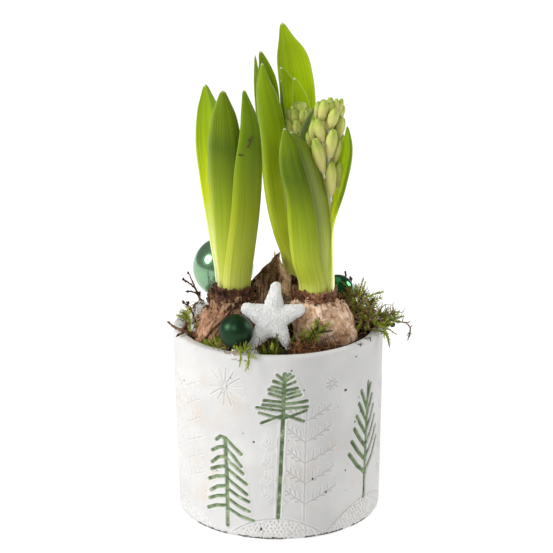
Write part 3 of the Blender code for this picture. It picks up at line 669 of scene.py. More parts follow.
def twig_tree(a, foot, height, right=(25, 11), left=(15, 12), fall=0.6, rows=5, half=0.30):
    """A faint fir: boughs (reach, rise) that climb outwards, with needles above and below them."""
    press(INCISED, half, (a - 0.7, foot), (a, foot + height * 0.6), (a + 0.9, foot + height))
    for k in range(rows):
        low = foot + height * (0.16 + 0.72 / (rows - 1) * k)
        for side, (reach, rise) in ((1, right), (-1, left)):
            reach *= 1 - 0.04 * k + 0.08 * sway(k + side)
            press(INCISED, half, (a, low), (a + side * reach / DEGREE, low + rise))
            for j in range(3):
                t = 0.22 + 0.24 * j
                at, up = a + side * reach * t / DEGREE, low + rise * t
                press(INCISED, half * 0.9, (at, up), (at + side * 0.9 / DEGREE, up + 7.0 - j))
                press(INCISED, half * 0.9, (at, up), (at + side * 4.6 / DEGREE, up - fall))


def starburst(a, z, reach, rays):
    """Rays round a small ring."""
    for k in range(rays):
        turn = 2 * math.pi * k / rays + 0.13
        far = reach * (1 + 0.16 * sway(k * 1.7))
        press(INCISED, 0.30, (a + 1.9 * math.cos(turn) / DEGREE, z + 1.9 * math.sin(turn)),
              (a + far * math.cos(turn) / DEGREE, z + far * math.sin(turn)))
    ring = [(a + 1.9 * math.cos(t) / DEGREE, z + 1.9 * math.sin(t)) for t in np.linspace(0, 2 * math.pi, 9)]
    press(INCISED, 0.28, *ring)


HILLS = [(-60, 18.6, 25), (-1.5, 18, 29), (57, 22.6, 33), (112, 15, 34), (166, 20, 33), (-128, 21, 34)]


def hill_height(a):
    """The snow line round the pot's foot: the highest of a few soft hills."""
    return max(h * (1 - (min(abs(a - m), 360 - abs(a - m)) / w) ** 2) for m, h, w in HILLS)


for tree in ((-30, 8.5, 71), (104, 12, 71), (-154, 12, 71)):
    spruce(*tree)
for tree in ((1.6, 19, 97, 134), (150, 17, 95, 132)):
    pine(*tree)
for tree in ((56.5, 22, 91), (-112, 19, 91)):
    feather(*tree)
for tree in ((-62, 21, 100, (24, 10), (24, 10), 4.8, 6), (14.5, 14.6, 91),
             (-1, 24, 60, (1, 1), (11, 4), 3.6, 4, -0.08), (82, 16, 90, (22, 11)),
             (128, 20, 96, (20, 9), (20, 9), 4.8, 6), (-178, 19, 92, (22, 11)),
             (-94, 18, 96, (18, 9), (14, 8), 4.8, 6), (-133, 22, 88, (22, 11))):
    twig_tree(*tree)
for star in ((-29.7, 120, 14.5, 14), (29.6, 122, 5, 9), (108, 116, 13, 16), (-152, 118, 12, 15)):
    starburst(*star)
for start in range(-180, 180, 3):
    line = [(a, hill_height(a)) for a in (start, start + 3)]
    if min(z for a, z in line) > 3:
        press(INCISED, 0.3, *line)
DOT_ROW, DOT_STEP = 2.6, 2.4        # mm between rows, degrees between dots
row, height = 0, 4.6
while height < 22:
    for k in range(-75, 76):
        a = (k + 0.5 * (row % 2)) * DOT_STEP + 0.5 * sway(k * 3 + row)
        if height < hill_height(a) - 1.6 and abs(a) < 180:
            low = height + 0.6 * sway(k + row * 5)
            press(DOTTED, 0.40, (a, low), (a, low + 0.7))
    row, height = row + 1, height + DOT_ROW
luck = np.random.default_rng(7)
for k in range(70):
    half, a, z = (float(luck.uniform(*span)) for span in ((0.3, 0.75), (-178, 178), (28, 141)))
    press(PITTED, half, (a, z))
for half, *place in ((0.9, -10, 9), (1.0, 26.5, 36), (1.1, 38.7, 114), (0.8, -13.6, 79)):
    press(PITTED, half, place)
MARKS = np.array(marks)


def gaps_to_marks(s, z, kinds=(PAINTED, INCISED, DOTTED, PITTED)):
    """How far each wall point is outside the nearest mark of each kind (below 0 inside it)."""
    nearest = np.full((4, len(s)), FAR_OFF)
    for kind in kinds:
        m = MARKS[MARKS[:, 5] == kind]
        for start in range(0, len(s), 4000):
            part = slice(start, start + 4000)
            ds = (s[part, None] - m[None, :, 0] + GIRTH / 2) % GIRTH - GIRTH / 2
            dz = z[part, None] - m[None, :, 1]
            ls, lz = m[:, 2] - m[:, 0], m[:, 3] - m[:, 1]
            t = np.clip((ds * ls + dz * lz) / np.maximum(ls * ls + lz * lz, 1e-9), 0, 1)
            nearest[kind, part] = (np.hypot(ds - t * ls, dz - t * lz) - m[:, 4]).min(axis=1)
    return nearest


def outer_wall(co, low, high):
    """Each point's way round the wall, height, distance from the axis, and whether it is on the outer wall."""
    s, z = np.arctan2(co[:, 0], -co[:, 1]) * GIRTH_RADIUS, co[:, 2]
    out = np.hypot(co[:, 0], co[:, 1])
    return s, z, out, (out > wall_radius(z) - 1) & (z > low) & (z < high)


def arc(radius, z, size, start, stop, steps=4):
    turns = np.radians(np.linspace(start, stop, steps + 1))
    return [(radius + size * math.cos(a), z + size * math.sin(a)) for a in turns]


INNER_EDGE, FLOOR_EDGE = wall_radius(20) - POT_WALL, wall_radius(12) - POT_WALL - 8
WALL_ROWS, WALL_TURNS = 60, 240


def pot_form():
    """The bare pot: floor, inner wall, rounded lip, outer wall in close rows and rounded foot."""
    rows = [(wall_radius(z), z) for z in np.linspace(LIP_Z - 2, FOOT_ROUND + 0.6, WALL_ROWS)]
    top, foot = wall_radius(POT_HEIGHT), wall_radius(0)
    inside = [(0.05, POT_FLOOR), (FLOOR_EDGE, POT_FLOOR), (INNER_EDGE, 20.0),
              (wall_radius(120) - POT_WALL, 120.0)]
    return turned(inside + arc(top - POT_WALL + LIP_ROUND, LIP_Z, LIP_ROUND, 180, 90)
                  + arc(top - LIP_ROUND, LIP_Z, LIP_ROUND, 90, 0) + rows
                  + arc(foot - FOOT_ROUND, FOOT_ROUND, FOOT_ROUND, 0, -90) + [(60.0, 0.0), (0.05, 0.0)],
                  WALL_TURNS)


def refine_near_marks(pot, reach):
    """Cuts the faces of the outer wall that lie within reach of a mark."""
    only(pot)
    mesh = pot.data
    centres = np.empty(len(mesh.polygons) * 3)
    mesh.polygons.foreach_get("center", centres)
    s, z, _, on_wall = outer_wall(centres.reshape(-1, 3) / MM, FOOT_ROUND, LIP_Z - 1.9)
    near = np.zeros(len(s), bool)
    near[on_wall] = gaps_to_marks(s[on_wall], z[on_wall]).min(axis=0) < reach
    mesh.polygons.foreach_set("select", near)
    mesh.update()
    bpy.context.tool_settings.mesh_select_mode = (False, False, True)
    bpy.ops.object.mode_set(mode="EDIT")
    bpy.ops.mesh.subdivide(number_cuts=1, ngon=False)
    bpy.ops.object.mode_set(mode="OBJECT")
    bpy.context.tool_settings.mesh_select_mode = (True, False, False)


# each kind of mark: how deep, and from where inside its edge to where outside it the wall slopes
DEPTHS = {PAINTED: (1.15, -0.55, 0.35), INCISED: (0.62, -0.35, 0.40), DOTTED: (0.62, -0.40, 0.35),
          PITTED: (0.60, -0.40, 0.30)}
BURR_AWAY, BURR_HIGH = 0.72, 0.36
UNEVEN, LIP_UNEVEN = 0.16, 0.22


def press_wall(co, z, out, on_wall, gap):
    """Sinks the marks, raises a burr beside them and makes wall and lip a little uneven.

    z is a column of co, so it moves with the lip.
    """
    depth = np.zeros(len(z))
    for kind, (deep, inner, outer) in DEPTHS.items():
        depth = np.maximum(depth, deep * (1 - ease(gap[kind], inner, outer)))
    burr = BURR_HIGH * np.exp(-((gap[:2].min(axis=0) - BURR_AWAY) / 0.36) ** 2)
    uneven = UNEVEN * rough_hills(co, 17, 3, 3)
    fade = ease(z, FOOT_ROUND, 6) * (1 - ease(z, LIP_Z - 5, LIP_Z - 1))
    new = wall_radius(z) + (burr - depth + uneven) * fade
    co[on_wall, :2] *= (new / out)[on_wall, None]
    lip = (z > LIP_Z - 0.3) | ((out < wall_radius(z) - 6) & (z > 130))
    co[lip] += (LIP_UNEVEN * rough_hills(co, 13, 5, 3)[:, None] * np.array([0.6, 0.6, 1.0]))[lip]


# soft spots on the wall: strength, degrees round from the front, height, half width and half height
WORN_SPOTS = [(1.0, 60.7, 146.5, 3, 2.0), (0.85, 51, 145.4, 3.5, 1.2), (0.85, -21, 142.6, 7, 1.2)]
STAINS = [(1.0, -23, 110, 10, 9), (0.8, -43, 121, 8, 8), (1.0, 31, 76, 6, 12), (0.7, 48, 117, 5, 4),
          (0.5, -50, 80, 10, 30)]


def soft_spots(s, z, rows):
    return sum(strength * np.exp(-((s / DEGREE - a) * DEGREE / wide) ** 2 - ((z - height) / tall) ** 2)
               for strength, a, height, wide, tall in rows)


def mark_pot(pot, co, s, z, on_wall, gap):
    """What the pot's finish reads: paint in the grooves, painted shade in the fine lines and beside the green
    strokes, a painted highlight on the burrs, wear.
    """
    mark(pot, "paint", 1 - ease(gap[PAINTED], -0.35, 0.15))
    low_side = np.full(len(s), FAR_OFF)
    low_side[on_wall] = gaps_to_marks(s[on_wall] - 0.55, z[on_wall] + 0.55, (PAINTED,))[PAINTED]
    # painted shadow along the lower right edge of each green stroke
    shadow = (np.exp(-((low_side - 0.05) / 0.30) ** 2) * ease(gap[PAINTED], -0.1, 0.2)
              * (hills(co, 5, 9) > -0.35))
    # painted shade in the incised lines and dots
    groove_shade = [np.exp(-(np.maximum(gap[kind], 0) / 0.30) ** 2) for kind in (INCISED, DOTTED)]
    mark(pot, "crease", (0.55 * groove_shade[0] + 1.5 * groove_shade[1] + 2.4 * shadow) * on_wall)
    # painted highlight on the burrs beside the lines
    mark(pot, "ridge", np.exp(-((gap[:3].min(axis=0) - BURR_AWAY) / 0.34) ** 2) * on_wall)
    foot_chips = 0.9 * (z < 2.2) * (rough_hills(co, 9, 11) > -0.1)
    dark_pits = 1.05 * (1 - ease(gap[PITTED], -0.1, 0.35)) * (hills(co, 12, 4) > -0.6)
    mark(pot, "worn", np.clip(soft_spots(s, z, WORN_SPOTS) + (foot_chips + dark_pits), 0, 1.2))
    mark(pot, "stain", soft_spots(s, z, STAINS))


def whitewashed_pot():
    pot = pot_form()
    for reach in (2.6, 1.4):
        refine_near_marks(pot, reach)
    co = points(pot)
    s, z, out, on_wall = outer_wall(co, FOOT_ROUND + 0.1, LIP_Z - 0.2)
    gap = np.full((4, len(s)), FAR_OFF)
    gap[:, on_wall] = gaps_to_marks(s[on_wall], z[on_wall])
    press_wall(co, z, out, on_wall, gap)
    shape(pot, co)
    mark_pot(pot, co, s, z, on_wall, gap)
    apply_modifier(pot, "DECIMATE", ratio=0.30)      # plain wall goes first, the grooves keep their points
    finish_piece(pot, "pot_wall", pot_finish(), "pot", "pot")


whitewashed_pot()

# ---- potting soil, lumpy, level with the rim
SOIL_TOP, SOIL_RISE = 141.0, 1.2


def potting_soil():
    rows = [(0.05, 20), (INNER_EDGE - 1, 20.5), (wall_radius(130) - POT_WALL - 0.5, 130), (71.2, 140.2)]
    rows += [(r, SOIL_TOP + SOIL_RISE) for r in (*np.linspace(70, 1.5, 46), 0.05)]
    soil = turned(rows, 150)
    co = points(soil)
    top = (co[:, 2] > 139) * (1 - ease(np.hypot(co[:, 0], co[:, 1]), 68.5, 71))
    co[:, 2] += (1.5 * rough_hills(co, 9, 21, 4) + 0.8) * top
    shape(soil, co)
    mark(soil, "shade", 0.45 + 0.3 * hills(co, 5, 31))
    finish_piece(soil, "potting_soil", EARTH, "soil", "soil")


potting_soil()

# ---- bulbs: foot (x, y), widest radius, neck (x, y)
BULBS = {"left": ((-42, -21), 23.4, (-33, -22)), "right": ((39.5, -24), 23.2, (29, -24)),
         "back": ((3, 29), 23.8, (15.5, 22))}
BULB_LOW, BULB_NECK_Z = 128.0, 173.0


def bulb(side, foot, widest, neck, seed):
    """A round bulb that leans to its neck, with loose flakes of skin, furrows, and painted shade in its
    creases.
    """
    full = 1.0 if side == "right" else 0.0
    rows = [(13.4 + 0.2 * full, 178), (14.1 + 2.4 * full, 174), ((0.70 + 0.20 * full) * widest, 168),
            ((0.87 + 0.09 * full) * widest, 163), ((0.97 + 0.02 * full) * widest, 156), (widest, 149),
            (0.93 * widest, 139), (0.72 * widest, 132), (0.42 * widest, 128.4), (0.1, 127.6)]
    obj = turned([(float(r), float(h)) for r, h in curve_through(rows, 110)], 230)
    co = points(obj)
    around, up = np.arctan2(co[:, 0], -co[:, 1]), co[:, 2]
    ring = np.stack([np.sin(around) * 20, -np.cos(around) * 20, up * 0.45], 1)
    flat = np.stack([np.sin(around) * 22, -np.cos(around) * 22, up], 1)
    wrinkle = 0.7 * rough_hills(ring, 5.0, seed, 3) + 1.0 * rough_hills(flat, 13, seed + 3, 2) \
        + 0.16 * rough_hills(flat, 2.4, seed + 4, 2)
    slant = flat @ np.array([[0.9, 0.1, 0.3], [-0.1, 1, 0], [-0.55, 0, 0.7]])
    fold = rough_hills(slant * [1, 1, 0.45], 7, seed + 12, 3)
    furrow = np.exp(-(fold / 0.07) ** 2) * ease(np.abs(hills(flat, 9, seed + 14)), 0.05, 0.3)
    field = rough_hills(flat * [1, 1, 0.8], 11, seed + 6, 3)
    first = ease(field, 0.06, 0.10)
    second = ease(rough_hills(flat * [1, 1, 0.6], 8, seed + 9, 3), 0.20, 0.24)
    push = wrinkle + 0.95 * first + 0.65 * second - 0.75 * furrow
    # painted shade along the raised flakes' edges and in the furrows
    crease = np.maximum(np.exp(-((field - 0.05) / 0.030) ** 2) * 0.85, furrow * 0.7)
    if side == "left":
        # one thick old skin laps over the next along a slanting edge at the front, with a painted shadow along
        # that edge
        line = (np.degrees(around) + 13) * 0.52 - (up - 165) * 0.9 + 1.0 * hills(flat, 6, 2)
        lap = ease(line, 0.0, 1.6) * (np.abs(around) < 1.5)
        push += 1.9 * (1 - lap) * np.exp(-(np.minimum(line, 0) / 16) ** 2)
        crease = np.maximum(crease, np.exp(-((line - 1.0) / 1.1) ** 2) * (np.abs(around) < 1.3))
    lean = ((np.array(neck) - foot) / (BULB_NECK_Z - BULB_LOW))
    push *= ease(up, 128, 134) * (1 - 0.6 * ease(up, 168, 175))
    out = np.maximum(np.hypot(co[:, 0], co[:, 1]), 1e-6)
    co[:, :2] *= ((out + push) / out)[:, None]
    co[:, :2] += np.array(foot) + lean * (up - BULB_LOW)[:, None]
    shape(obj, co)
    mark(obj, "flake", np.clip(first * 0.55 + second * 0.5 - 0.1, 0, 1))
    mark(obj, "crease", np.clip(crease, 0, 1) * 0.85)
    mark(obj, "around", around)
    finish_piece(obj, "bulb_body_" + side, BULB_FINISHES[side], "bulb", "bulb_" + side)


for number, (side, (foot, widest, neck)) in enumerate(BULBS.items()):
    bulb(side, foot, widest, neck, 40 + 17 * number)


# ---- dry skins: ragged sleeves round the necks, and the torn tunic of the back bulb
def sleeve(x, y, low, high, radius, flare, ragged, seed, span=360.0, start=0.0, crumple=0.7, thick=0.4):
    """A crumpled ragged sleeve, or part of one."""
    begin()
    bpy.ops.mesh.primitive_grid_add(x_subdivisions=150, y_subdivisions=20, size=2)
    obj = bpy.context.object
    grid = raw(obj)
    u, t = (grid[:, 0] + 1) / 2, (grid[:, 1] + 1) / 2
    turn = np.radians(start + span * u)
    dial = np.stack([np.cos(turn) * 9, np.sin(turn) * 9, np.full(len(u), seed * 3.0)], 1)
    torn = rough_hills(dial, 3.4, seed, 4) * ragged + hills(dial, 1.3, seed + 5) * ragged * 0.4
    if span < 360:
        torn = torn - ragged * 2.2 * (2 * np.abs(u - 0.5)) ** 3
    top = high + torn
    height = low + (top - low) * t
    skin = np.stack([np.cos(turn) * radius, np.sin(turn) * radius, height * 0.6], 1)
    r = radius + flare * t**1.5 + crumple * (0.7 + 0.5 * t) * rough_hills(skin, 4.2, seed + 8, 4) \
        + 0.5 * crumple * hills(skin, 1.5, seed + 9) + 1.2 * t * t * hills(dial, 3.0, seed + 11)
    shape(obj, np.stack([x + r * np.cos(turn), y + r * np.sin(turn), height], 1))
    mark(obj, "along", t)
    mark(obj, "across", turn / 3)
    apply_modifier(obj, "SOLIDIFY", thickness=thick * MM, offset=0)
    return obj


def collar(x, y, low, high, foot_radius, radius, ragged, seed):
    """A shrunk, crumpled collar that follows the bulb's shoulder up to the leaves."""
    obj = sleeve(x, y, low, high, radius, 0.6, ragged, seed, crumple=1.15, thick=0.5)
    co = points(obj)
    t = np.clip((co[:, 2] - low) / (high - low), 0, 1)
    off = co[:, :2] - (x, y)
    wider = (foot_radius - radius) * (1 - t) ** 1.7
    far = np.maximum(np.hypot(*off.T), 1e-6)
    co[:, :2] = (x, y) + off * ((far + wider) / far)[:, None]
    shape(obj, co)
    return obj


def flap_pattern(seed):
    """A torn curled flap of skin, a unit long."""
    luck = np.random.default_rng(seed)
    begin()
    bpy.ops.mesh.primitive_grid_add(x_subdivisions=5, y_subdivisions=8, size=2)
    obj = bpy.context.object
    grid = raw(obj)
    u, t = grid[:, 0], (grid[:, 1] + 1) / 2
    wide = 0.34 * (1 - 0.55 * t**2) * (1 + 0.35 * hills(np.stack([t * 9, u, 0 * u], 1), 2.0, seed))
    curl = luck.uniform(0.1, 0.55)
    away = curl * t * t + 0.16 * u * u + 0.09 * hills(grid * 6, 2.2, seed)
    co = np.stack([u * wide + 0.10 * luck.uniform(-1, 1) * t, away, t * (1 - 0.25 * curl)], 1)
    co[:, 2] += 0.10 * hills(np.stack([u * 6, t, 0 * u], 1), 2.0, seed + 3) * t
    shape(obj, co * 1000)
    mark(obj, "along", t)
    mark(obj, "across", u * 0.3 + seed)
    apply_modifier(obj, "SOLIDIFY", thickness=0.05, offset=0)
    return pattern_of(obj)


FLAPS = [flap_pattern(k) for k in range(5)]


def flaps(x, y, rings, seed):
    """Small flaps standing off a neck: rings of (count, height, radius, reach up, length)."""
    luck = np.random.default_rng(seed)
    places = []
    for count, height, radius, upward, length in rings:
        for k in range(count):
            a = luck.uniform(0, 2 * math.pi)
            out = Vector((math.sin(a), -math.cos(a), 0))
            at = Vector((x, y, height + luck.uniform(-2.0, 2.0))) + out * (radius + luck.uniform(-0.8, 0.4))
            way = Vector((0, 0, upward)) + out * luck.uniform(0.15, 0.6) + Vector(luck.normal(size=3)) * 0.35
            which = int(luck.integers(len(FLAPS)))
            places.append((which, placed(at, way, length * luck.uniform(0.6, 1.2) * MM, luck.uniform(0, 6.3))))
    return copies(FLAPS, places)


# the skins of each neck: how much the dark ones rise above the rest, how far all slide up, how tight they sit,
# the foot radii of the two dark collars, the pale collar's low edge and share of the bulb's width, where its
# two torn strips start (degrees), and the papers
NECK_SKINS = {"left": (2.4, 0.0, 1.0, (15.4, 18.0), (162, 0.90), (150, -14), (PAPER_DARK, PAPER)),
              "right": (0.0, 5.5, 0.90, (14.7, 16.2), (171.5, 0.76), (15, 150), (PAPER_RUST, PAPER_RUST)),
              "back": (0.0, 0.0, 1.0, (15.4, 18.0), (163, 0.88), (100, 200), (PAPER_DARK, PAPER_GREY))}


def neck_skins(side, widest, x, y, seed):
    up, lift, snug, (upper, lower), (pale_low, share), strips, papers = NECK_SKINS[side]
    dark = [collar(x, y, 171 + lift * 0.5, 181.5 + up, upper, 14.7 * snug, 2.4, seed),
            collar(x, y, 166.5 + lift, 177.5 + up + lift * 0.2, lower, 15.5 * snug, 2.6, seed + 4),
            flaps(x, y, [(26, 177 + up, 15.4 * snug, 1.2, 5), (18, 170 + lift, 17.0 * snug, 0.6, 5)], seed + 1)]
    pale = [collar(x, y, pale_low, 173.5 + lift * 0.5, share * widest, 16.8 * snug, 2.6, seed + 7),
            sleeve(x, y, 165 + lift, 180, 16.0 * snug, 2.4, 3.0, seed + 9, 46, strips[0], 1.0),
            sleeve(x, y, 166 + lift, 181, 16.2 * snug, 2.4, 3.0, seed + 12, 34, strips[1], 1.0),
            flaps(x, y, [(16, 173 + lift * 0.4, 16.6 * snug, 1.0, 5.5), (18, 167 + lift, 17.8 * snug, 0.4, 5),
                         (6, 163 + lift, 20.2 * snug, -0.5, 5)], seed + 2)]
    finish_piece(joined(dark), "neck_skin_dark_" + side, papers[0], "skin")
    finish_piece(joined(pale), "neck_skin_torn_" + side, papers[1], "skin", "neck_skin_" + side)


for number, (side, (foot, widest, neck)) in enumerate(BULBS.items()):
    neck_skins(side, widest, *neck, 3 + 20 * number)


def torn_sheet(name, corner, rows, thickness, material, seed, crumple=0.7, *nodes):
    """A torn sheet of skin: corner(u, t) gives its places, with a ragged top and side."""
    begin()
    bpy.ops.mesh.primitive_grid_add(x_subdivisions=rows[0], y_subdivisions=rows[1], size=2)
    obj = bpy.context.object
    grid = raw(obj)
    u, t = (grid[:, 0] + 1) / 2, (grid[:, 1] + 1) / 2
    edge = np.stack([u * 14, np.zeros(len(u)), np.full(len(u), seed)], 1)
    co = corner(u, t * (1 + 0.05 * rough_hills(edge, 2.0, seed, 3)))
    lengthways = np.stack([u * 60, t * 14, np.full(len(u), seed)], 1)
    co[:, 1] += crumple * rough_hills(lengthways, 7, seed + 2, 3) + 0.8 * crumple * hills(co, 9, seed + 4)
    co[:, 0] += 0.5 * crumple * hills(co, 6, seed + 6)
    shape(obj, co)
    mark(obj, "along", t)
    mark(obj, "across", u * 1.2)
    apply_modifier(obj, "SOLIDIFY", thickness=thickness * MM, offset=0)
    return finish_piece(obj, name, material, "skin", *nodes)


def left_tunic(u, t):
    low, high = 149 + 9 * u, 170.5 + 28.5 * u**0.62
    return np.stack([-24 + 24 * u + 1.5 * t * t, 11 - 15 * u * (1.2 - u) * 1.5 + 5 * t - 9 * t * t * (1 - u),
                     low + (high - low) * t], 1)


def right_tunic(u, t):
    turn = np.radians(-104 + 88 * u)
    r = 16.4 + 1.0 * t + 1.6 * t * t * u
    high = 206 - 24 * u**1.5 - 16 * (1 - u) ** 4
    return np.stack([15.0 + r * np.sin(turn), 20 - r * np.cos(turn), 156 + (high - 156) * t], 1)


# one tunic in two sheets: the left wears a darker paper as painted shade, the right a paler one as painted
# light
torn_sheet("torn_tunic_left", left_tunic, (70, 50), 0.6, PAPER_GREY, 5, 0.9, "torn_skin_back")
torn_sheet("torn_tunic_right", right_tunic, (60, 44), 0.6, PAPER_TAN, 9, 0.8)

# ---- leaves. Rows of height, x, y and width; the way the back faces at foot and tip, counted from the
# front towards the right; half the angle the channel spans at foot, middle and tip; and the finish
LEAF_FOOT_Z, NECK_Z, LEAF_THICKNESS = 173.7, 185.0, 2.0
LEAVES = {
    "leaf_left_front_right": (
        [(174, -30.4, -27.7, 22.5), (212, -27.5, -32.5, 22.6), (243, -23.5, -37, 22), (271, -21.4, -38.5, 21.3),
         (313, -20.2, -37, 12.4), (334.7, -23.8, -34.5, 0)], (25, 8), (62, 40, 60), "deep"),
    "leaf_left_front_left": (
        [(174, -35.9, -25.8, 19), (221, -35.2, -28, 28), (255, -35.6, -29.5, 31.5),
         (304, -38.2, -29.5, 23), (333, -39, -28.5, 0)], (-35, -8), (62, 45, 60), "dark"),
    "leaf_left_back_left": (
        [(174, -37.8, -15.2, 18), (216, -40.4, -13.5, 21), (262, -45.9, -11.5, 23.5), (290, -48.6, -11.5, 23.5),
         (320, -50.7, -12.5, 14.5), (334.2, -52.1, -13, 0)], (172, 170), (50, 46, 50), "lit"),
    "leaf_left_back_right": (
        [(174, -25.8, -17.2, 14.5), (225, -22.5, -10, 22), (270, -20, -4, 20), (300, -19, -1, 0)],
        (118, 140), (42, 45, 55), "bright"),
    "leaf_right_front_left": (
        [(174, 25.5, -30, 22.2), (205, 21.2, -36.5, 23), (230, 18.6, -39.5, 23), (259, 15.5, -41, 20),
         (282, 10, -41, 18), (294, 8.5, -40.5, 14.5), (307.2, 5.4, -39.5, 0)],
        (-25, -15), (60, 42, 60), "dark"),
    "leaf_right_front_wide": (
        [(174, 31, -27.4, 18), (223, 25.4, -30, 30), (255, 20.5, -31.5, 31),
         (285, 14, -32.5, 25), (303, 9.8, -33, 0)], (20, 5), (65, 42, 50), "sheen"),
    "leaf_right_side": (
        [(174, 37.4, -22.5, 17), (231, 37.3, -21.5, 17), (262, 45.8, -24, 17.5), (286, 50.8, -25.5, 15),
         (299, 51.6, -26.5, 9), (305.4, 51.2, -27, 0)], (118, 122), (50, 48, 50), "lit"),
    "leaf_right_back": (
        [(174, 24.9, -15.9, 17.5), (230, 18, -8, 17), (270, 16.5, -5, 14), (293, 19.5, -4, 11),
         (305, 23, -5, 9), (317, 29, -7, 0)], (-150, -120), (45, 40, 50), "dark"),
    "leaf_right_inner": (
        [(174, 20.7, -22.4, 10), (230, 15, -20, 10), (275, 14, -17, 8), (300, 15.5, -15, 0)],
        (-100, -110), (30, 35, 45), "deep"),
    "leaf_back_front_left": (
        [(174, 13.6, 14.5, 17), (218, 4.2, 11, 17), (257, -0.8, 9, 18.4), (299, -3.5, 8, 19.8),
         (312, -5.8, 8, 18.5), (333, -9.7, 8, 10), (345.5, -10.7, 8, 0)], (-14, -12), (48, 40, 60), "half_lit"),
    "leaf_back_left": (
        [(174, 9.2, 25.6, 11.3), (222, 3.5, 24, 15), (257, -1, 23, 18), (299, -5.5, 22, 19.5),
         (326, -7.2, 21, 16.8), (343, -9.6, 20.5, 9.5), (352.2, -12.2, 20, 0)],
        (-120, -165), (38, 42, 55), "half_lit"),
    "leaf_back_narrow": (
        [(174, 5.3, 23.8, 10.5), (222, -4, 28, 12), (270, -10, 31, 13), (310, -13, 31, 13),
         (330, -14.8, 30.5, 8.5), (347, -16, 30, 0)], (-100, -125), (28, 35, 50), "bright"),
    "leaf_back_tall": (
        [(174, 17.2, 28.4, 18.4), (222, 19, 34.5, 22.5), (290, 17.2, 38, 25.8), (327, 14.6, 38, 26.6),
         (342, 12.2, 37.5, 24.4), (358, 7.6, 36, 14.4), (371, 4.1, 34, 0)], (165, 175), (55, 40, 45), "bright"),
    "leaf_back_hooded": (
        [(174, 16.2, 30, 7.6), (222, 17, 32, 10.5), (275, 13.2, 32.6, 13.4), (305, 11.5, 32, 13.5),
         (328, 7.8, 31, 10), (338.4, 3, 28, 0)], (175, 178), (25, 38, 60), "bright"),
    "leaf_back_right": (
        [(174, 22.4, 24.2, 11), (222, 25, 24.5, 13.6), (265, 24.2, 25, 15.6), (300, 20, 26, 16.8),
         (318, 17, 25, 12), (331, 13, 24, 0)], (108, 160), (38, 38, 50), "bright"),
    "leaf_back_slender": (
        [(174, 9.2, 18.8, 4.4), (230, 6.4, 15.8, 6), (270, 5.5, 15, 6), (300, 5, 14.5, 5.5),
         (320, 3.5, 14, 4.4), (331.5, 3.2, 13, 0)], (-60, -60), (16, 30, 50), "deep"),
}


def smooth(at, rows, column):
    """A smooth curve through one column of rows that are sorted by their first number."""
    s, v = [row[0] for row in rows], [row[column] for row in rows]
    if column == 3:
        v = [w * w for w in v]
    rate = [(v[i + 1] - v[i]) / (s[i + 1] - s[i]) for i in range(len(s) - 1)]
    slope = [rate[0]]
    for i in range(1, len(rate)):
        a, b = s[i] - s[i - 1], s[i + 1] - s[i]
        slope.append((rate[i - 1] * b + rate[i] * a) / (a + b))
    slope.append(rate[-1])
    i = max(j for j in range(len(rate)) if at >= s[j] or j == 0)
    h = s[i + 1] - s[i]
    t = min(max((at - s[i]) / h, 0), 1)
    value = (v[i] * (2 * t**3 - 3 * t * t + 1) + slope[i] * h * (t**3 - 2 * t * t + t)
             + v[i + 1] * (3 * t * t - 2 * t**3) + slope[i + 1] * h * (t**3 - t * t))
    return math.sqrt(max(value, 0)) if column == 3 else value


def across_leaf(rows, turn, cup, t):
    """Where a leaf is at t from foot to tip: its middle, its side and outward ways, and its bow."""
    rows = [(LEAF_FOOT_Z, *rows[0][1:]), (NECK_Z, *rows[0][1:])] + rows[1:]
    z0, z1 = rows[0][0], rows[-1][0]

    def middle(k):
        z = z0 + (z1 - z0) * k
        return Vector((smooth(z, rows, 1), smooth(z, rows, 2), z))

    along = (middle(min(t + 0.01, 1)) - middle(max(t - 0.01, 0))).normalized()
    along = Vector((0, 0, 1)).lerp(along, min(t * 9, 1)).normalized()
    a = math.radians(turn[0] + (turn[1] - turn[0]) * t)
    out = Vector((math.sin(a), -math.cos(a), 0))
    out = (out - along * out.dot(along)).normalized()
    bend = cup[0] + (cup[1] - cup[0]) * t * 2 if t < 0.5 else cup[1] + (cup[2] - cup[1]) * (2 * t - 1) ** 2
    bend = math.radians(bend)
    half = max(smooth(z0 + (z1 - z0) * t, rows, 3) / 2, 0.4) * (1 - 0.24 * float(ease(t, 0.88, 0.985)))
    return middle(t), along.cross(out), out, half / math.sin(bend), bend


def leaf(name, rows, turn, cup, finish):
    """A leaf: a grid bent into its channel, faintly ribbed, thickened inwards and thinner at its edges."""
    begin()
    bpy.ops.mesh.primitive_grid_add(x_subdivisions=26, y_subdivisions=84, size=2)
    obj = bpy.context.object
    grid = raw(obj)
    u, t = grid[:, 0], 1 - np.clip(0.5 - grid[:, 1] / 2, 0, 1) ** 1.25
    steps, which = np.unique(np.round(t, 6), return_inverse=True)
    parts = zip(*(across_leaf(rows, turn, cup, float(k)) for k in steps))
    centre, side, out, radius, bend = (np.array(part)[which] for part in parts)
    rib = 0.10 * np.cos(u * math.pi * 13) * (1 - u * u) * (1 - t**4)
    wave = (0.30 * hills(np.stack([u * 3, t * 40, np.full(len(u), len(name))], 1), 6, len(name))
            * ease(t, 0.1, 0.4))
    co = centre + side * (radius * np.sin(u * bend))[:, None]
    co += out * (radius * (np.cos(u * bend) - np.cos(bend)) + rib + wave * (1 - t**3))[:, None]
    shape(obj, co)
    mark(obj, "along", t)
    mark(obj, "across", u)
    thick = obj.vertex_groups.new(name="thick")
    for i, weight in enumerate((1 - 0.68 * u * u) * (1 - 0.55 * t**6)):
        thick.add([i], float(weight), "REPLACE")
    apply_modifier(obj, "SOLIDIFY", thickness=LEAF_THICKNESS * MM, offset=-1, vertex_group="thick",
                   use_even_offset=False)
    outwards(obj)
    return finish_piece(obj, "blade_" + name[5:], LEAF_FINISHES[finish], "leaf", name)


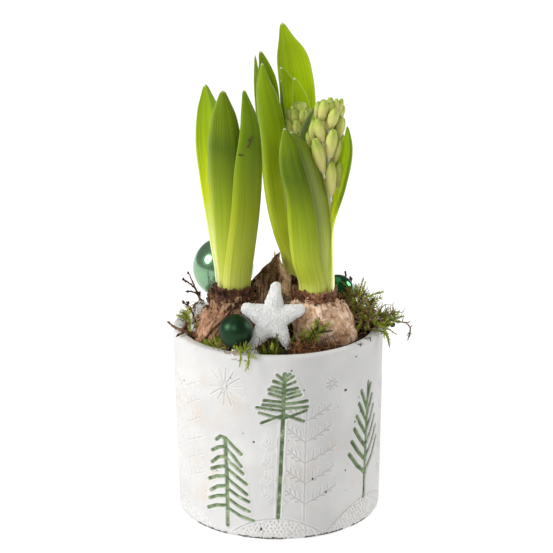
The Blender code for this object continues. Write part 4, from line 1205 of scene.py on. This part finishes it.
for name, (rows, turn, cup, finish) in LEAVES.items():
    leaf(name, rows, turn, cup, finish)


# ---- flower spikes: closed buds on short stalks round a stem
def bud_pattern(open_tip, bent):
    """One bud, a unit long along +Z from the end of its stalk: six petals closed to a blunt tip."""
    begin()
    bpy.ops.mesh.primitive_uv_sphere_add(segments=24, ring_count=18, radius=0.5, location=(0, 0, 0.5))
    bpy.ops.object.transform_apply(location=True)
    obj = bpy.context.object
    co = raw(obj)
    t, turn = co[:, 2].copy(), np.arctan2(co[:, 1], co[:, 0])
    petals = np.abs(np.cos(turn * 1.5 + 0.4))
    r = ((np.clip(t * (1 - t), 0, 1) * 4) ** 0.36 * 0.5
         * (0.84 + 0.22 * ease(t, 0.1, 0.75) - 0.10 * ease(t, 0.7, 1.0)))
    groove = (1 - petals) ** 4
    r = r * (1 - 0.10 * groove * ease(t, 0.25, 0.7)) + open_tip * ease(t, 0.86, 1.0) * 0.05 * petals
    co[:, 0], co[:, 1] = r * np.cos(turn) + bent * (t - 0.5) ** 2, r * np.sin(turn)
    co[:, 2] += open_tip * 0.05 * petals * ease(t, 0.8, 1.0)
    shape(obj, co / MM)
    mark(obj, "along", t)
    mark(obj, "ridge", np.clip(groove * ease(t, 0.3, 0.6) * 0.9, 0, 1))
    mark(obj, "pale", 0.0)
    stalk = stem([(bent * 250, 0, -160), (bent * 250, 0, 60)], 105, 2)
    mark(stalk, "along", 0.0)
    mark(stalk, "ridge", 0.0)
    mark(stalk, "pale", 0.8)
    return pattern_of(joined([obj, stalk]))


BUD_PATTERNS = [bud_pattern(0.3, 0.10), bud_pattern(1.0, 0.0), bud_pattern(0.6, -0.10)]


def spike(name, path, radii, buds, *nodes):
    """A fleshy stem and its buds: each is where its middle is, its width and length, and which way it leans."""
    size = np.interp(np.linspace(0, 1, 40), np.linspace(0, 1, len(radii)), radii)
    core = stem([tuple(p) for p in curve_through(path, 40)], size, 4)
    for key, value in (("along", 0.3), ("ridge", 0.1), ("pale", 0.15)):
        mark(core, key, value)
    places = []
    for k, (x, y, z, width, length, way) in enumerate(buds):
        way = Vector(way).normalized()
        foot = Vector((x, y, z)) - way * length / 2
        places.append((k % 3, placed(foot, way, length * MM, k * 1.1, width * MM)))
    obj = joined([copies(BUD_PATTERNS, places), core])
    return finish_piece(obj, name, BUD, "flower", *nodes)


def bud_ring(x, y, z, count, reach, width, length, first=0.0, span=360.0, lean=0.3):
    """Buds evenly round a stem, from an angle on, as spike takes them."""
    turns = np.radians(first + span * np.arange(count) / count)
    return [(x + reach * math.sin(a), y - reach * math.cos(a), z + 0.7 * sway(z + k), width, length,
             (lean * math.sin(a), -lean * math.cos(a), 1)) for k, a in enumerate(turns)]


# the buds that show at the front of the right spike: middle, width, length and lean sideways in degrees
FRONT_BUDS = [(33.6, -26, 316.6, 7.4, 17, 10), (38.9, -22.5, 317.2, 6, 14, 3),
              (29.8, -17, 314.8, 5.4, 14, 6), (43.2, -21.5, 319.2, 4.6, 11.5, 4),
              (46.2, -19.5, 318.4, 4.4, 11.5, 12), (48, -16, 314, 4, 9.5, 7),
              (40.6, -28, 311, 7.8, 16.5, 15), (45.8, -20.5, 303.4, 6, 15.5, 8),
              (31.3, -30, 302.8, 8.2, 18.5, -13), (26.3, -25.5, 301.5, 6.2, 15.5, 4),
              (23.4, -24, 295, 4.4, 10, -11), (39.4, -31, 293, 8.6, 22.5, 8),
              (43.9, -24.5, 286.4, 6.2, 20.5, 13), (30.7, -33, 284.5, 9.2, 26.5, -14),
              (39.4, -32, 266.8, 8.2, 26.5, 0), (45.2, -22.5, 267.6, 5, 21, 4)]
front = [(x, y, z, w, length, (math.tan(math.radians(turn)), -0.12, 1))
         for x, y, z, w, length, turn in FRONT_BUDS]
rest = (bud_ring(37, -18.5, 270, 3, 6.0, 8.0, 23, 120, 180) + bud_ring(37, -18, 285, 4, 8.0, 8.2, 22, 105, 200)
        + bud_ring(36.5, -18, 299, 3, 9.0, 8.4, 20, 105, 150)
        + bud_ring(36.5, -17.5, 311, 4, 7.6, 7.6, 16, 95, 156)
        + bud_ring(38, -19, 316, 3, 4.4, 6.6, 14, 100, 200, 0.15))
spike("hyacinth_spike_right",
      [(29, -24, 173.7), (29, -24, 182), (33, -22, 220), (37.5, -20, 255), (37, -20, 290), (37, -20, 312)],
      [4.4, 4.4, 4.4, 4.4, 5.4, 3.6], front + rest, "flower_spike_right")
spike("hyacinth_spike_back",
      [(15.5, 22, 173.7), (15.5, 22, 182), (16.5, 20, 240), (17, 17, 290), (17, 17, 304)],
      [3.6, 3.6, 3.6, 3.4, 3.0],
      bud_ring(16.5, 17, 284, 6, 5.4, 7.4, 18, 20) + bud_ring(16.5, 16.5, 294, 7, 6.8, 7.2, 15, -64)
      + bud_ring(16.5, 16.5, 303, 6, 5.6, 7.2, 14, -32)
      + bud_ring(17.5, 16.5, 308.5, 3, 2.4, 6.4, 11, 10, 360, 0.15),
      "flower_spike_back")
spike("hyacinth_spike_left", [(-33, -22, 173.7), (-33, -22, 182), (-32.5, -21, 225), (-32, -20, 260)],
      [3.4, 3.4, 3.2, 2.4],
      bud_ring(-32.4, -20.5, 240, 6, 4.2, 5.6, 14) + bud_ring(-32.2, -20, 249, 5, 3.8, 5.6, 13, 30)
      + bud_ring(-32, -20, 257, 4, 2.6, 5.0, 11, 0, 360, 0.15), "flower_spike_left")

# ---- glass baubles on wire picks
BAUBLES = {"bauble_mint": (-42.0, 32, 181, 23.5, MINT, "bauble_mint"),
           "bauble_dark_green": (-31, -58.6, 159.2, 12.7, DARK, "bauble_dark"),
           "bauble_shiny_green": (46, 20, 165, 12.7, SHINY, "bauble_shiny")}


def bauble(name, x, y, z, radius, material, slot):
    """A glass ball, neck down, and its fluted metal crown."""
    neck = 0.11 * radius + 1.2
    start = math.asin(neck / radius)
    turns = [start + (math.pi - start) * k / 44 for k in range(45)]
    profile = [(neck * 0.96, z - radius - 1.2), (neck, z - radius + 0.2)]
    profile += [(max(radius * math.sin(a), 0.05), z - radius * math.cos(a)) for a in turns[1:]]
    finish_piece(turned(profile, 72, (x, y)), "glass_" + name[7:], material, slot, name)
    cap, low, high = 0.16 * radius + 1.6, z - radius - 3.9, z - radius - 0.3
    rim = turned([(0.05, high), (cap * 0.55, high), (cap * 0.92, high - 0.5), (cap, high - 1.2),
                  (cap * 1.02, low + 0.3), (cap * 0.96, low), (cap * 0.86, low + 0.1), (0.9, low + 0.4),
                  (0.05, low + 0.4)], 96, (x, y))
    co = points(rim)
    off = co[:, :2] - (x, y)
    fluted = 1 + 0.045 * np.cos(24 * np.arctan2(off[:, 1], off[:, 0])) * (np.hypot(*off.T) > cap * 0.8)
    co[:, :2] = off * fluted[:, None] + (x, y)
    shape(rim, co)
    finish_piece(rim, name + "_crown", METAL, "metal", name + "_cap")


for name, row in BAUBLES.items():
    bauble(name, *row)


# ---- the frosted star: a ball drawn out into five plump arms, then sugared
STAR_MIDDLE, STAR_REACH, STAR_DEPTH = Vector((-4.4, -46.4, 164.4)), 26.5, 9.6
STAR_UP, STAR_RIGHT = Vector((0.115, 0.32, 0.94)).normalized(), Vector((1, 0, -0.03)).normalized()
STAR_OUT = STAR_RIGHT.cross(STAR_UP).normalized()
# an arm's outline: degrees from its tip and share of the reach
ARM = np.array([(0, 1.0), (4, 0.988), (7, 0.955), (9, 0.915), (11, 0.855), (13, 0.79), (16, 0.705), (20, 0.645),
                (25, 0.580), (30, 0.528), (34, 0.492), (36, 0.485)])


def frosted_star():
    begin()
    bpy.ops.mesh.primitive_uv_sphere_add(segments=300, ring_count=90, radius=1)
    star = bpy.context.object
    ball = raw(star)
    turn = np.arctan2(ball[:, 1], ball[:, 0])
    off_tip = np.abs((np.degrees(turn) - 90 + 36) % 72 - 36)
    reach = STAR_REACH * np.interp(off_tip, ARM[:, 0], ARM[:, 1])
    across = np.hypot(ball[:, 0], ball[:, 1])**0.80
    plump = STAR_DEPTH / 2 * np.sign(ball[:, 2]) * (1 - np.minimum(across, 1) ** 2.6) ** 0.46
    local = np.stack([0.93 * reach * across * np.cos(turn), 1.05 * reach * across * np.sin(turn), plump], 1)
    flattened = local * [0.3, 0.3, 1]
    away = local / np.maximum(np.linalg.norm(flattened, axis=1), 1e-6)[:, None] * [0.3, 0.3, 1]
    grainy = 0.24 * hills(local, 1.1, 61) + 0.16 * hills(local, 0.6, 62) + 0.40 * rough_hills(local, 6, 63, 2)
    local += away * grainy[:, None]
    shape(star, local @ np.array([STAR_RIGHT, STAR_UP, STAR_OUT]) + np.array(STAR_MIDDLE))
    surface = raw(star)
    finish_piece(star, "frosted_star", FROST, "frost", "star")
    return surface


def grain_pattern():
    begin()
    bpy.ops.mesh.primitive_ico_sphere_add(subdivisions=1, radius=1)
    return pattern_of(bpy.context.object)


GRAIN = grain_pattern()


def sugar(surface, count):
    """Grains scattered over the star's points."""
    luck = np.random.default_rng(11)
    picked = luck.choice(len(surface), count, replace=False)
    grains = [(0, Matrix.Translation(Vector(surface[i])) @ Matrix.Rotation(float(luck.uniform(0, 3)), 4, "X")
               @ Matrix.Scale(float(luck.uniform(0.26, 0.62)) * MM, 4)) for i in picked]
    finish_piece(copies([GRAIN], grains), "star_sugar", FROST, "frost")


sugar(frosted_star(), 2300)


# ---- moss, coir, snow and twigs
def plume_pattern(seed, pairs=6, width=0.30, droop=0.12):
    """A feathery moss plume a unit long: a bent stem with pairs of short side shoots."""
    luck = np.random.default_rng(seed)
    axis = curve_through([(0, 0, 0), (droop * 260, 0, 330), (droop * 700, 20, 680), (droop * 1500, 0, 1000)], 7)
    parts = [stem(axis, np.linspace(42, 22, 7), 0)]
    line = curve_through(axis, 60)
    for k in range(pairs * 2):
        share = 0.14 + 0.84 * (k // 2) / pairs
        foot = line[int(share * 59)]
        side = 1 if k % 2 else -1
        length = 1000 * width * (1.15 - 0.75 * share) * luck.uniform(0.75, 1.2)
        way = Vector((luck.uniform(-0.25, 0.45), side, 0.85 + luck.uniform(-0.2, 0.3))).normalized()
        begin()
        bpy.ops.mesh.primitive_cone_add(vertices=4, radius1=54, radius2=14, depth=1, end_fill_type="NOTHING")
        shoot = bpy.context.object
        co = raw(shoot)
        co[:, 2] = (co[:, 2] + 0.5) * length
        co[:, :2] *= 0.9
        m = np.array(Vector(way).to_track_quat("Z", "X").to_matrix())
        shape(shoot, co @ m.T + foot)
        parts.append(shoot)
    return pattern_of(joined(parts))


def fibre_pattern(seed, curl=0.25, thick=34):
    """A thin crooked fibre a unit long."""
    luck = np.random.default_rng(seed)
    rows = [(0, 0, 0)]
    for k in range(1, 5):
        rows.append((1000 * curl * luck.uniform(-1, 1), 1000 * curl * luck.uniform(-1, 1), 250 * k))
    return pattern_of(stem(curve_through(rows, 7), thick * np.array([1, 1, 1, 0.9, 0.8, 0.6, 0.3]), 0))


def chip_pattern(seed):
    """An angular crumb of bark or soil."""
    luck = np.random.default_rng(seed)
    begin()
    bpy.ops.mesh.primitive_cube_add(size=1)
    obj = bpy.context.object
    shape(obj, raw(obj) / MM * luck.uniform(0.5, 1.1, (8, 3)) * [1, 0.6, 0.4])
    return pattern_of(obj)


PLUMES = [plume_pattern(1), plume_pattern(2, 7, 0.26, 0.2), plume_pattern(3, 5, 0.36, 0.05),
          plume_pattern(4, 6, 0.30, -0.1)]
FIBRES = [fibre_pattern(5), fibre_pattern(6, 0.35), fibre_pattern(7, 0.15)]
CHIPS = [chip_pattern(8), chip_pattern(9), chip_pattern(10)]


def lump(parts, material, slot, name, seed, rough=0.35, *nodes):
    """The dense heart of a tuft: a few rough balls."""
    made = []
    for k, (x, y, z, rx, ry, rz) in enumerate(parts):
        begin()
        bpy.ops.mesh.primitive_uv_sphere_add(segments=36, ring_count=24, radius=1)
        ball = bpy.context.object
        co = raw(ball)
        co *= (1 + rough * rough_hills(co * 10, 5, seed + k, 3))[:, None]
        shape(ball, co * [rx, ry, rz] + [x, y, z])
        mark(ball, "shade", 0.35 + 0.3 * hills(co * 10, 2, seed + k))
        made.append(ball)
    return finish_piece(joined(made), name, material, slot, *nodes)


# what is strewn: its patterns, finish and slot
STRANDS = {"plume": (PLUMES, MOSS, "moss"), "brown_fibre": (FIBRES, MOSS_BROWN, "moss"),
           "coir": (FIBRES, COIR, "twig"), "bark": (CHIPS, COIR, "soil"), "crumb": (CHIPS, EARTH, "soil")}


def strewn(name, kind, parts, count, lengths, seed, upward=0.5, width=0.8, wild=0.9, depth=0.6,
           shades=(0.1, 1.0), extra=(), nodes=(), inside=0.0):
    """Strands standing out of a few balls (x, y, z and radii), and any listed one by one as (foot, tip, shade).

    upward lifts them, wild scatters their ways, depth is how far out of the balls they root, and none
    reaches farther from the pot's axis than inside (0: no limit).
    """
    patterns, material, slot = STRANDS[kind]
    luck = np.random.default_rng(seed)
    sizes = np.array([(rx * ry * rz) ** (2 / 3) for _, _, _, rx, ry, rz in parts])
    places, tints = [], []

    def lay(at, way, length):
        which = int(luck.integers(len(patterns)))
        places.append((which, placed(at, way, length * MM, luck.uniform(0, 6.3), length * width * MM)))

    for k in range(count):
        x, y, z, rx, ry, rz = parts[luck.choice(len(parts), p=sizes / sizes.sum())]
        n = luck.normal(size=3)
        n /= np.linalg.norm(n)
        n[2] = abs(n[2]) if luck.random() < 0.75 else n[2]
        at = np.array((x, y, z)) + n * (rx, ry, rz) * depth
        way = n + [0, 0, upward] + luck.normal(size=3) * wild * 0.5
        length = luck.uniform(*lengths)
        tip = at + way / np.linalg.norm(way) * length
        if inside and max(math.hypot(*at[:2]), math.hypot(*tip[:2])) > inside:
            continue
        lay(at, way, length)
        tints.append(luck.uniform(*shades))
    for foot, tip, tint in extra:
        way = np.subtract(tip, foot)
        lay(foot, way, float(np.linalg.norm(way)))
        tints.append(tint)
    return finish_piece(copies(patterns, places, tints), name, material, slot, *nodes)


def twig(name, runs, slot="twig", material=TWIG, nodes=(), knobs=0, seed=0):
    """Thin forked sticks with knobs; runs are paths with radii."""
    luck = np.random.default_rng(seed)
    parts = []
    for path, radii in runs:
        line = curve_through(path, 6 * len(path))
        line[1:-1] += luck.normal(size=(len(line) - 2, 3)) * 0.22
        size = np.interp(np.linspace(0, 1, len(line)), np.linspace(0, 1, len(radii)), radii)
        size *= 1 + 0.22 * luck.uniform(-1, 1, len(line))
        parts.append(stem(line, size, 1))
        mark(parts[-1], "shade", float(luck.uniform(0.25, 0.6)))
        for k in range(knobs):
            begin()
            bpy.ops.mesh.primitive_ico_sphere_add(subdivisions=2, radius=1)
            knob = bpy.context.object
            at = line[int(luck.integers(len(line) // 2, len(line)))]
            co = raw(knob)
            r = float(luck.uniform(0.6, 1.05))
            co = co * (1 + 0.25 * hills(co * 3, 1, k))[:, None] * r * [1, 1, 1.3]
            shape(knob, co + at + luck.normal(size=3) * 0.4)
            mark(knob, "shade", 0.18)
            parts.append(knob)
    return finish_piece(joined(parts), name, material, slot, *nodes)


# the big tuft on the right
right_lumps = [(60, 0, 157, 9, 12, 12), (66, -13, 151, 9, 10, 9), (73, -8, 150, 8, 9, 6),
               (81, -7, 150, 6.4, 7, 4.6), (88, -6, 149.5, 4, 5, 3)]
lump([(x - 1, y + 1, z - 4, rx * 0.52, ry * 0.6, rz * 0.5) for x, y, z, rx, ry, rz in right_lumps], EARTH,
     "moss", "moss_heart_right", 71, 0.35, "moss_right")
by_hand = [((64, -4, 166), (79, -8, 175), 0.8), ((66, -6, 162), (79, -8, 169), 0.7),
           ((74, -8, 155), (92, -8, 153), 0.75), ((60, -2, 168), (57, -4, 179), 0.7),
           ((62, -4, 168), (68, -6, 180), 0.85), ((58, -2, 170), (62, -2, 178), 0.8),
           ((70, -8, 158), (75, -10, 167), 0.8), ((80, -8, 152), (88, -10, 158), 0.6),
           ((68, -10, 156), (62, -16, 165), 0.75), ((78, -10, 151), (84, -12, 138), 0.7),
           ((66, -14, 154), (70, -20, 146), 0.95), ((68, -14, 153), (66, -20, 145), 0.9),
           ((84, -8, 151), (96, -6, 152), 0.5), ((56, 4, 168), (50, 8, 178), 0.6),
           ((62, 6, 166), (64, 14, 178), 0.7)]
strewn("moss_plumes_right", "plume", right_lumps, 80, (7, 12), 72, upward=0.35, width=0.85, depth=0.7,
       shades=(0.35, 1.0), extra=by_hand)
strewn("moss_litter_right", "brown_fibre", right_lumps, 230, (5, 13), 73, upward=0.2, width=1.0, wild=1.2,
       depth=0.8, shades=(0.3, 1.0))
twig("moss_sticks_right",
     [([(54, -3, 176), (58, -5, 165), (62, -8, 155)], [1.1, 1.3, 1.0]),
      ([(66, -6, 158), (71, -8, 165), (72, -8, 168)], [0.8, 1.0, 0.4]),
      ([(70, -12, 150), (79, -12, 151), (86, -10, 151)], [1.2, 1.3, 0.7]),
      ([(60, 4, 158), (66, 4, 170)], [0.8, 0.5])], seed=74)
moss_spray = [([(84, -6, 151), (92, -6, 148.5), (98, -6, 147.5)], [0.7, 0.55, 0.5]),
              ([(97, -6, 147.6), (100.4, -6, 143), (99.4, -5.6, 136)], [0.5, 0.5, 0.7]),
              ([(98, -6, 147.3), (100.6, -6, 148.6)], [0.4, 0.2]),
              ([(100.2, -6, 143.6), (102, -6, 145.6)], [0.4, 0.2]),
              ([(99.8, -6, 139.6), (97.8, -6, 137)], [0.4, 0.2]),
              ([(99.8, -6, 139.8), (101.8, -6, 138)], [0.4, 0.2]),
              ([(94, -6, 148.2), (95.4, -6, 151)], [0.4, 0.2]),
              ([(99.4, -5.6, 136.4), (98.4, -5.6, 133)], [0.5, 0.2])]
twig("moss_spray_right", moss_spray, slot="moss", material=MOSS_BROWN, nodes=("moss_strand_right",), seed=75)

# the left side: sprig, sticks and snow
left_lumps = [(-63.5, -22, 147, 4.2, 5, 8), (-65.5, -19.5, 157, 3.0, 3.4, 6)]
strewn("moss_plumes_left", "plume", left_lumps, 9, (4, 8), 81, upward=0.8, wild=0.7, shades=(0.3, 1.0),
       nodes=("moss_left",),
       extra=[((-66, -22, 144), (-67, -23, 158), 0.8), ((-66, -22, 153), (-68, -22, 167), 0.85),
              ((-66, -22, 156), (-77, -21, 160), 0.6), ((-66, -22, 152), (-73, -22, 164), 0.5),
              ((-64, -22, 143), (-65, -24, 151), 0.95)])
strewn("moss_litter_left", "brown_fibre", [(-66, -14, 150, 8, 16, 12), (-61, -4, 156, 5, 8, 8)], 60, (3, 8), 82,
       width=1.2, wild=1.2, depth=0.85, shades=(0.1, 0.7))
strewn("bark_bits_left", "bark", [(-60, -1, 156, 5.4, 8, 7), (-61.5, -8, 150, 5.6, 7.4, 9)], 48, (1.4, 3.6), 87,
       upward=0.1, width=1.0, wild=1.5, depth=0.95, shades=(0.2, 1.0))
twig("twigs_left",
     [([(-58, 22, 143), (-60, 12, 161), (-63.5, 5, 174), (-68, 1, 187)], [1.0, 0.9, 0.75, 0.4]),
      ([(-62.8, 6, 172), (-67, 3, 177), (-71.5, 2, 180.5)], [0.7, 0.65, 0.6]),
      ([(-60, 10, 166), (-66, 2, 171), (-70, -2, 172)], [0.7, 0.6, 0.5]),
      ([(-57, 16, 158), (-60, 8, 164), (-59, 4, 170)], [0.8, 0.6, 0.4]),
      ([(-55, 20, 150), (-50, 12, 162), (-52, 10, 168)], [0.8, 0.7, 0.5]),
      ([(-60, -8, 146), (-66, -14, 162), (-72, -18, 170)], [0.9, 0.7, 0.5]),
      ([(-66, -14, 160), (-69, -14, 168)], [0.6, 0.8])], nodes=("twig_left",), knobs=2, seed=83)
twig("twigs_rim",
     [([(-60, -33, 147), (-70, -28, 149.4), (-76, -25, 150.5), (-83, -20, 154)], [1.1, 1.3, 1.0, 0.7]),
      ([(-72, -27.7, 149.4), (-70, -27, 152.6), (-67, -29, 156)], [0.9, 0.8, 0.5]),
      ([(-70, -28, 149), (-74, -31, 147.6), (-76, -33, 147)], [0.9, 0.8, 0.7]),
      ([(-64, -31, 147), (-68, -33, 151), (-73, -34, 153)], [0.8, 0.6, 0.4])], nodes=("twig_rim",), knobs=1,
     seed=84)
twig("leaf_crumbs",
     [([(-21.4, -42.4, 293.5), (-19.6, -42.6, 297.5), (-17.4, -42, 302)], [0.5, 0.6, 0.3]),
      ([(-19.2, -42.6, 298), (-20.8, -42.6, 300)], [0.4, 0.3]),
      ([(-27.6, -42.2, 288), (-24.6, -42.6, 288.4)], [0.5, 0.4])], seed=86)
twig("twigs_back",
     [([(60, 36, 142), (58, 33, 160), (56, 31, 173)], [1.1, 1.0, 0.8]),
      ([(54, 34, 142), (53, 30, 165), (52, 29, 178)], [0.9, 0.7, 0.7])], nodes=("twig_back",), knobs=1,
     seed=85)

# moss and coir along the front
front_moss = [(-47, -48.5, 143, 6.0, 5.0, 4.6), (-38, -54, 142, 5, 4, 3.6)]
strewn("moss_plumes_front", "plume", front_moss, 64, (5, 11), 91, shades=(0.2, 1.0), nodes=("moss_front_left",),
       extra=[((-46, -54, 144), (-52, -56, 151), 0.8), ((-44, -56, 144), (-46, -60, 154), 0.85),
              ((-40, -58, 144), (-38, -62, 153), 0.9), ((-48, -52, 143), (-56, -52, 149), 0.7)])
star_moss = [(-9.5, -64, 142, 5.2, 4, 4.2), (-4, -64.5, 141.6, 4.2, 3.6, 4)]
strewn("moss_plumes_star", "plume", star_moss, 62, (4, 8), 92, upward=0.7, shades=(0.0, 0.7),
       nodes=("moss_star",),
       extra=[((-4, -66, 143), (-3, -60, 156), 0.1), ((-1, -66, 143), (0, -60, 158), 0.2),
              ((-5, -65, 144), (-8, -60, 155), 0.3), ((-6, -66, 143), (-4, -68, 155), 0.7),
              ((-8, -66, 143), (-12, -68, 152), 0.55), ((-2, -67, 142), (-1, -70, 150), 0.7)])
# a dark earth lump between the star's lower arms: painted shade under the star
lump([(-4, -55, 144, 8, 4, 8.5)], EARTH, "moss", "star_shade_lump", 90, 0.35)
bulb_moss = [(22, -54.6, 148, 5, 3.4, 5), (28, -54, 155, 4.0, 3.0, 4.4)]
strewn("moss_plumes_bulb", "plume", bulb_moss, 46, (5, 11), 93, upward=0.6, width=0.75, wild=0.8, depth=0.5,
       shades=(0.05, 0.8), nodes=("moss_bulb",),
       extra=[((20, -56, 150), (34, -57, 166), 0.4), ((24, -56, 153), (38, -56, 165), 0.5),
              ((18, -56, 148), (24, -58, 160), 0.4), ((26, -56, 150), (32, -58, 158), 0.6),
              ((8, -58, 146), (12, -60, 158), 0.2), ((12, -58, 145), (18, -60, 156), 0.25)])
coir = [(20, -64.5, 141, 11, 5, 5.4), (33, -60.5, 141, 8.5, 5.6, 5), (14, -66, 140.6, 6, 4, 3.6),
        (-14, -66, 141, 8, 4, 3.4)]
lump(coir[:2], COIR, "twig", "coir_heart", 94, 0.4, "coir_front")
strewn("coir_fibres", "coir", coir, 420, (4, 14), 95, upward=0.25, width=0.75, wild=1.5, depth=0.95,
       shades=(0.0, 1.0), inside=71.5)
strewn("tan_fibres", "brown_fibre", [(-32, -64, 145, 13, 4, 2.4), (-44, -54, 144, 8, 4, 3)], 70, (5, 11), 96,
       upward=0.1, width=0.7, wild=1.2, depth=0.9, shades=(0.4, 1.0), inside=75.5,
       extra=[((-36, -70, 147), (-24, -77, 147.5), 0.8), ((-34, -71, 147), (-22, -76, 148), 0.9),
              ((-40, -66, 147), (-28, -75, 147), 0.7), ((-30, -72, 148), (-25, -80, 146), 0.8),
              ((-48, -60, 147), (-38, -67, 147), 0.75)])
twig("moss_spray_front",
     [([(-28, -66, 147), (-23, -74, 149), (-21.5, -81, 147.6), (-21.5, -82.8, 143), (-22, -82.9, 138)],
       [0.7, 0.7, 0.7, 0.6, 0.3]),
      ([(-27, -70, 148.6), (-27.5, -79, 149), (-27.8, -81.6, 144)], [0.6, 0.6, 0.3])], slot="moss",
     material=MOSS, nodes=("moss_strand_front",), seed=97)
strewn("moss_plumes_rim", "plume", [(-25, -74, 149.4, 4, 4, 1.2)], 12, (5, 8), 98, upward=0.4, wild=1.0,
       shades=(0.3, 0.8),
       extra=[((-25, -74, 149), (-33, -76, 154), 0.7), ((-23, -76, 149), (-17, -81, 148), 0.8),
              ((-22, -81.5, 147), (-15, -82.4, 146), 0.8), ((-22, -82.6, 146), (-23.5, -84, 136), 0.9),
              ((-27, -80, 148), (-28, -83.6, 140), 0.8), ((-27, -78, 149), (-31, -80, 153), 0.85),
              ((-22, -78, 149), (-20, -82, 153), 0.7)])
twig("moss_spray_rim",
     [([(71, -24, 147.7), (77, -27, 148.0), (81.5, -29.2, 145), (83.4, -30.4, 136)], [0.7, 0.7, 0.6, 0.3])],
     slot="moss", material=MOSS, nodes=("moss_strand_rim",), seed=99)
strewn("moss_plumes_hanging", "plume", [(80, -20, 148.6, 5, 6, 1.6)], 16, (5, 9), 100, upward=0.2, wild=1.0,
       shades=(0.4, 1.0), extra=[((80, -24, 149), (85, -30, 138), 0.8), ((76, -20, 149), (84, -22, 156), 0.7)])

# ground cover over the rest of the soil: loose moss, crumbs of bark and fibres
cover = [(20, 52, 142, 22, 14, 3), (-20, 52, 142, 20, 14, 3), (54, 38, 142, 12, 16, 3), (60, 20, 143, 8, 14, 4),
         (-8, -8, 142, 18, 16, 2.5), (-64, 20, 142, 6, 16, 2.5), (-10, 62, 142, 30, 7, 2.5),
         (14, 0, 142, 12, 20, 2.5), (-30, 14, 142, 16, 12, 2.5)]
strewn("moss_carpet", "plume", cover, 420, (6, 11), 101, width=0.9, depth=0.8, shades=(0.1, 0.9))
strewn("bark_litter", "crumb", [(0, 0, 141.8, 61, 61, 1.2)], 520, (2, 6), 102, upward=0.1, width=0.9, wild=1.5,
       depth=1.0, inside=70.5)
strewn("fibre_litter", "coir", [(0, 0, 141.5, 58, 58, 2)], 380, (5, 14), 103, upward=0.05, width=0.7, wild=1.4,
       depth=1.0, inside=70.5)


# artificial snow
def snow(name, parts, count, seed, *nodes):
    """Rough heaps with loose grains over them."""
    luck = np.random.default_rng(seed)
    places = []
    for k in range(count):
        x, y, z, rx, ry, rz = parts[int(luck.integers(len(parts)))]
        n = luck.normal(size=3)
        n /= np.linalg.norm(n)
        n[2] = abs(n[2])
        at = np.array((x, y, z)) + n * (rx, ry, rz) * luck.uniform(0.85, 1.08)
        turn = Matrix.Rotation(float(luck.uniform(0, 3)), 4, "Y")
        size = Matrix.Diagonal((*(luck.uniform(0.35, 0.95, 3) * MM), 1))
        places.append((0, Matrix.Translation(Vector(at) * MM) @ turn @ size))
    grains = copies([GRAIN], places)
    made = []
    for k, (x, y, z, rx, ry, rz) in enumerate(parts):
        begin()
        bpy.ops.mesh.primitive_uv_sphere_add(segments=60, ring_count=40, radius=1)
        ball = bpy.context.object
        co = raw(ball)
        co *= (1 + 0.25 * rough_hills(co * 10, 4, seed + k, 4) + 0.05 * hills(co * 10, 0.6, seed))[:, None]
        shape(ball, co * [rx, ry, rz] + [x, y, z])
        made.append(ball)
    return finish_piece(joined(made + [grains]), name, SNOW, "frost", *nodes)


snow("snow_heap_left", [(-60, 4, 143, 8, 18, 8), (-61.5, -6, 151, 5, 7, 8), (-59.4, 2, 157.5, 4.4, 6, 5)],
     1900, 111, "snow_left")
snow("snow_heap_front", [(-20, -62.5, 141.5, 6.5, 4.2, 4.6), (-33, -70.5, 143.5, 3.2, 1.8, 2)],
     420, 112, "snow_front")

# ---- what stays from the frame: the wire picks
for name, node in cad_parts.items():
    if name.endswith("_pick"):
        node.data.materials.clear()
        node.data.materials.append(METAL)

# ---- floor
begin()
bpy.ops.mesh.primitive_plane_add(size=24, location=(0, 0, -0.0005))
floor = bpy.context.object
floor.name = "studio_floor"
paper = Finish("floor_paper", Specular_IOR_Level=0.1, Emission_Color=(1, 1, 1, 1), Emission_Strength=0.87)
soft = paper.cloud(3, 2)
floor.data.materials.append(paper.wear(Base_Color=paper.mix(soft, (0.24, 0.24, 0.24), (0.26, 0.26, 0.26)),
                                       Roughness=0.9 + soft * 0.05))

bpy.context.view_layer.update()
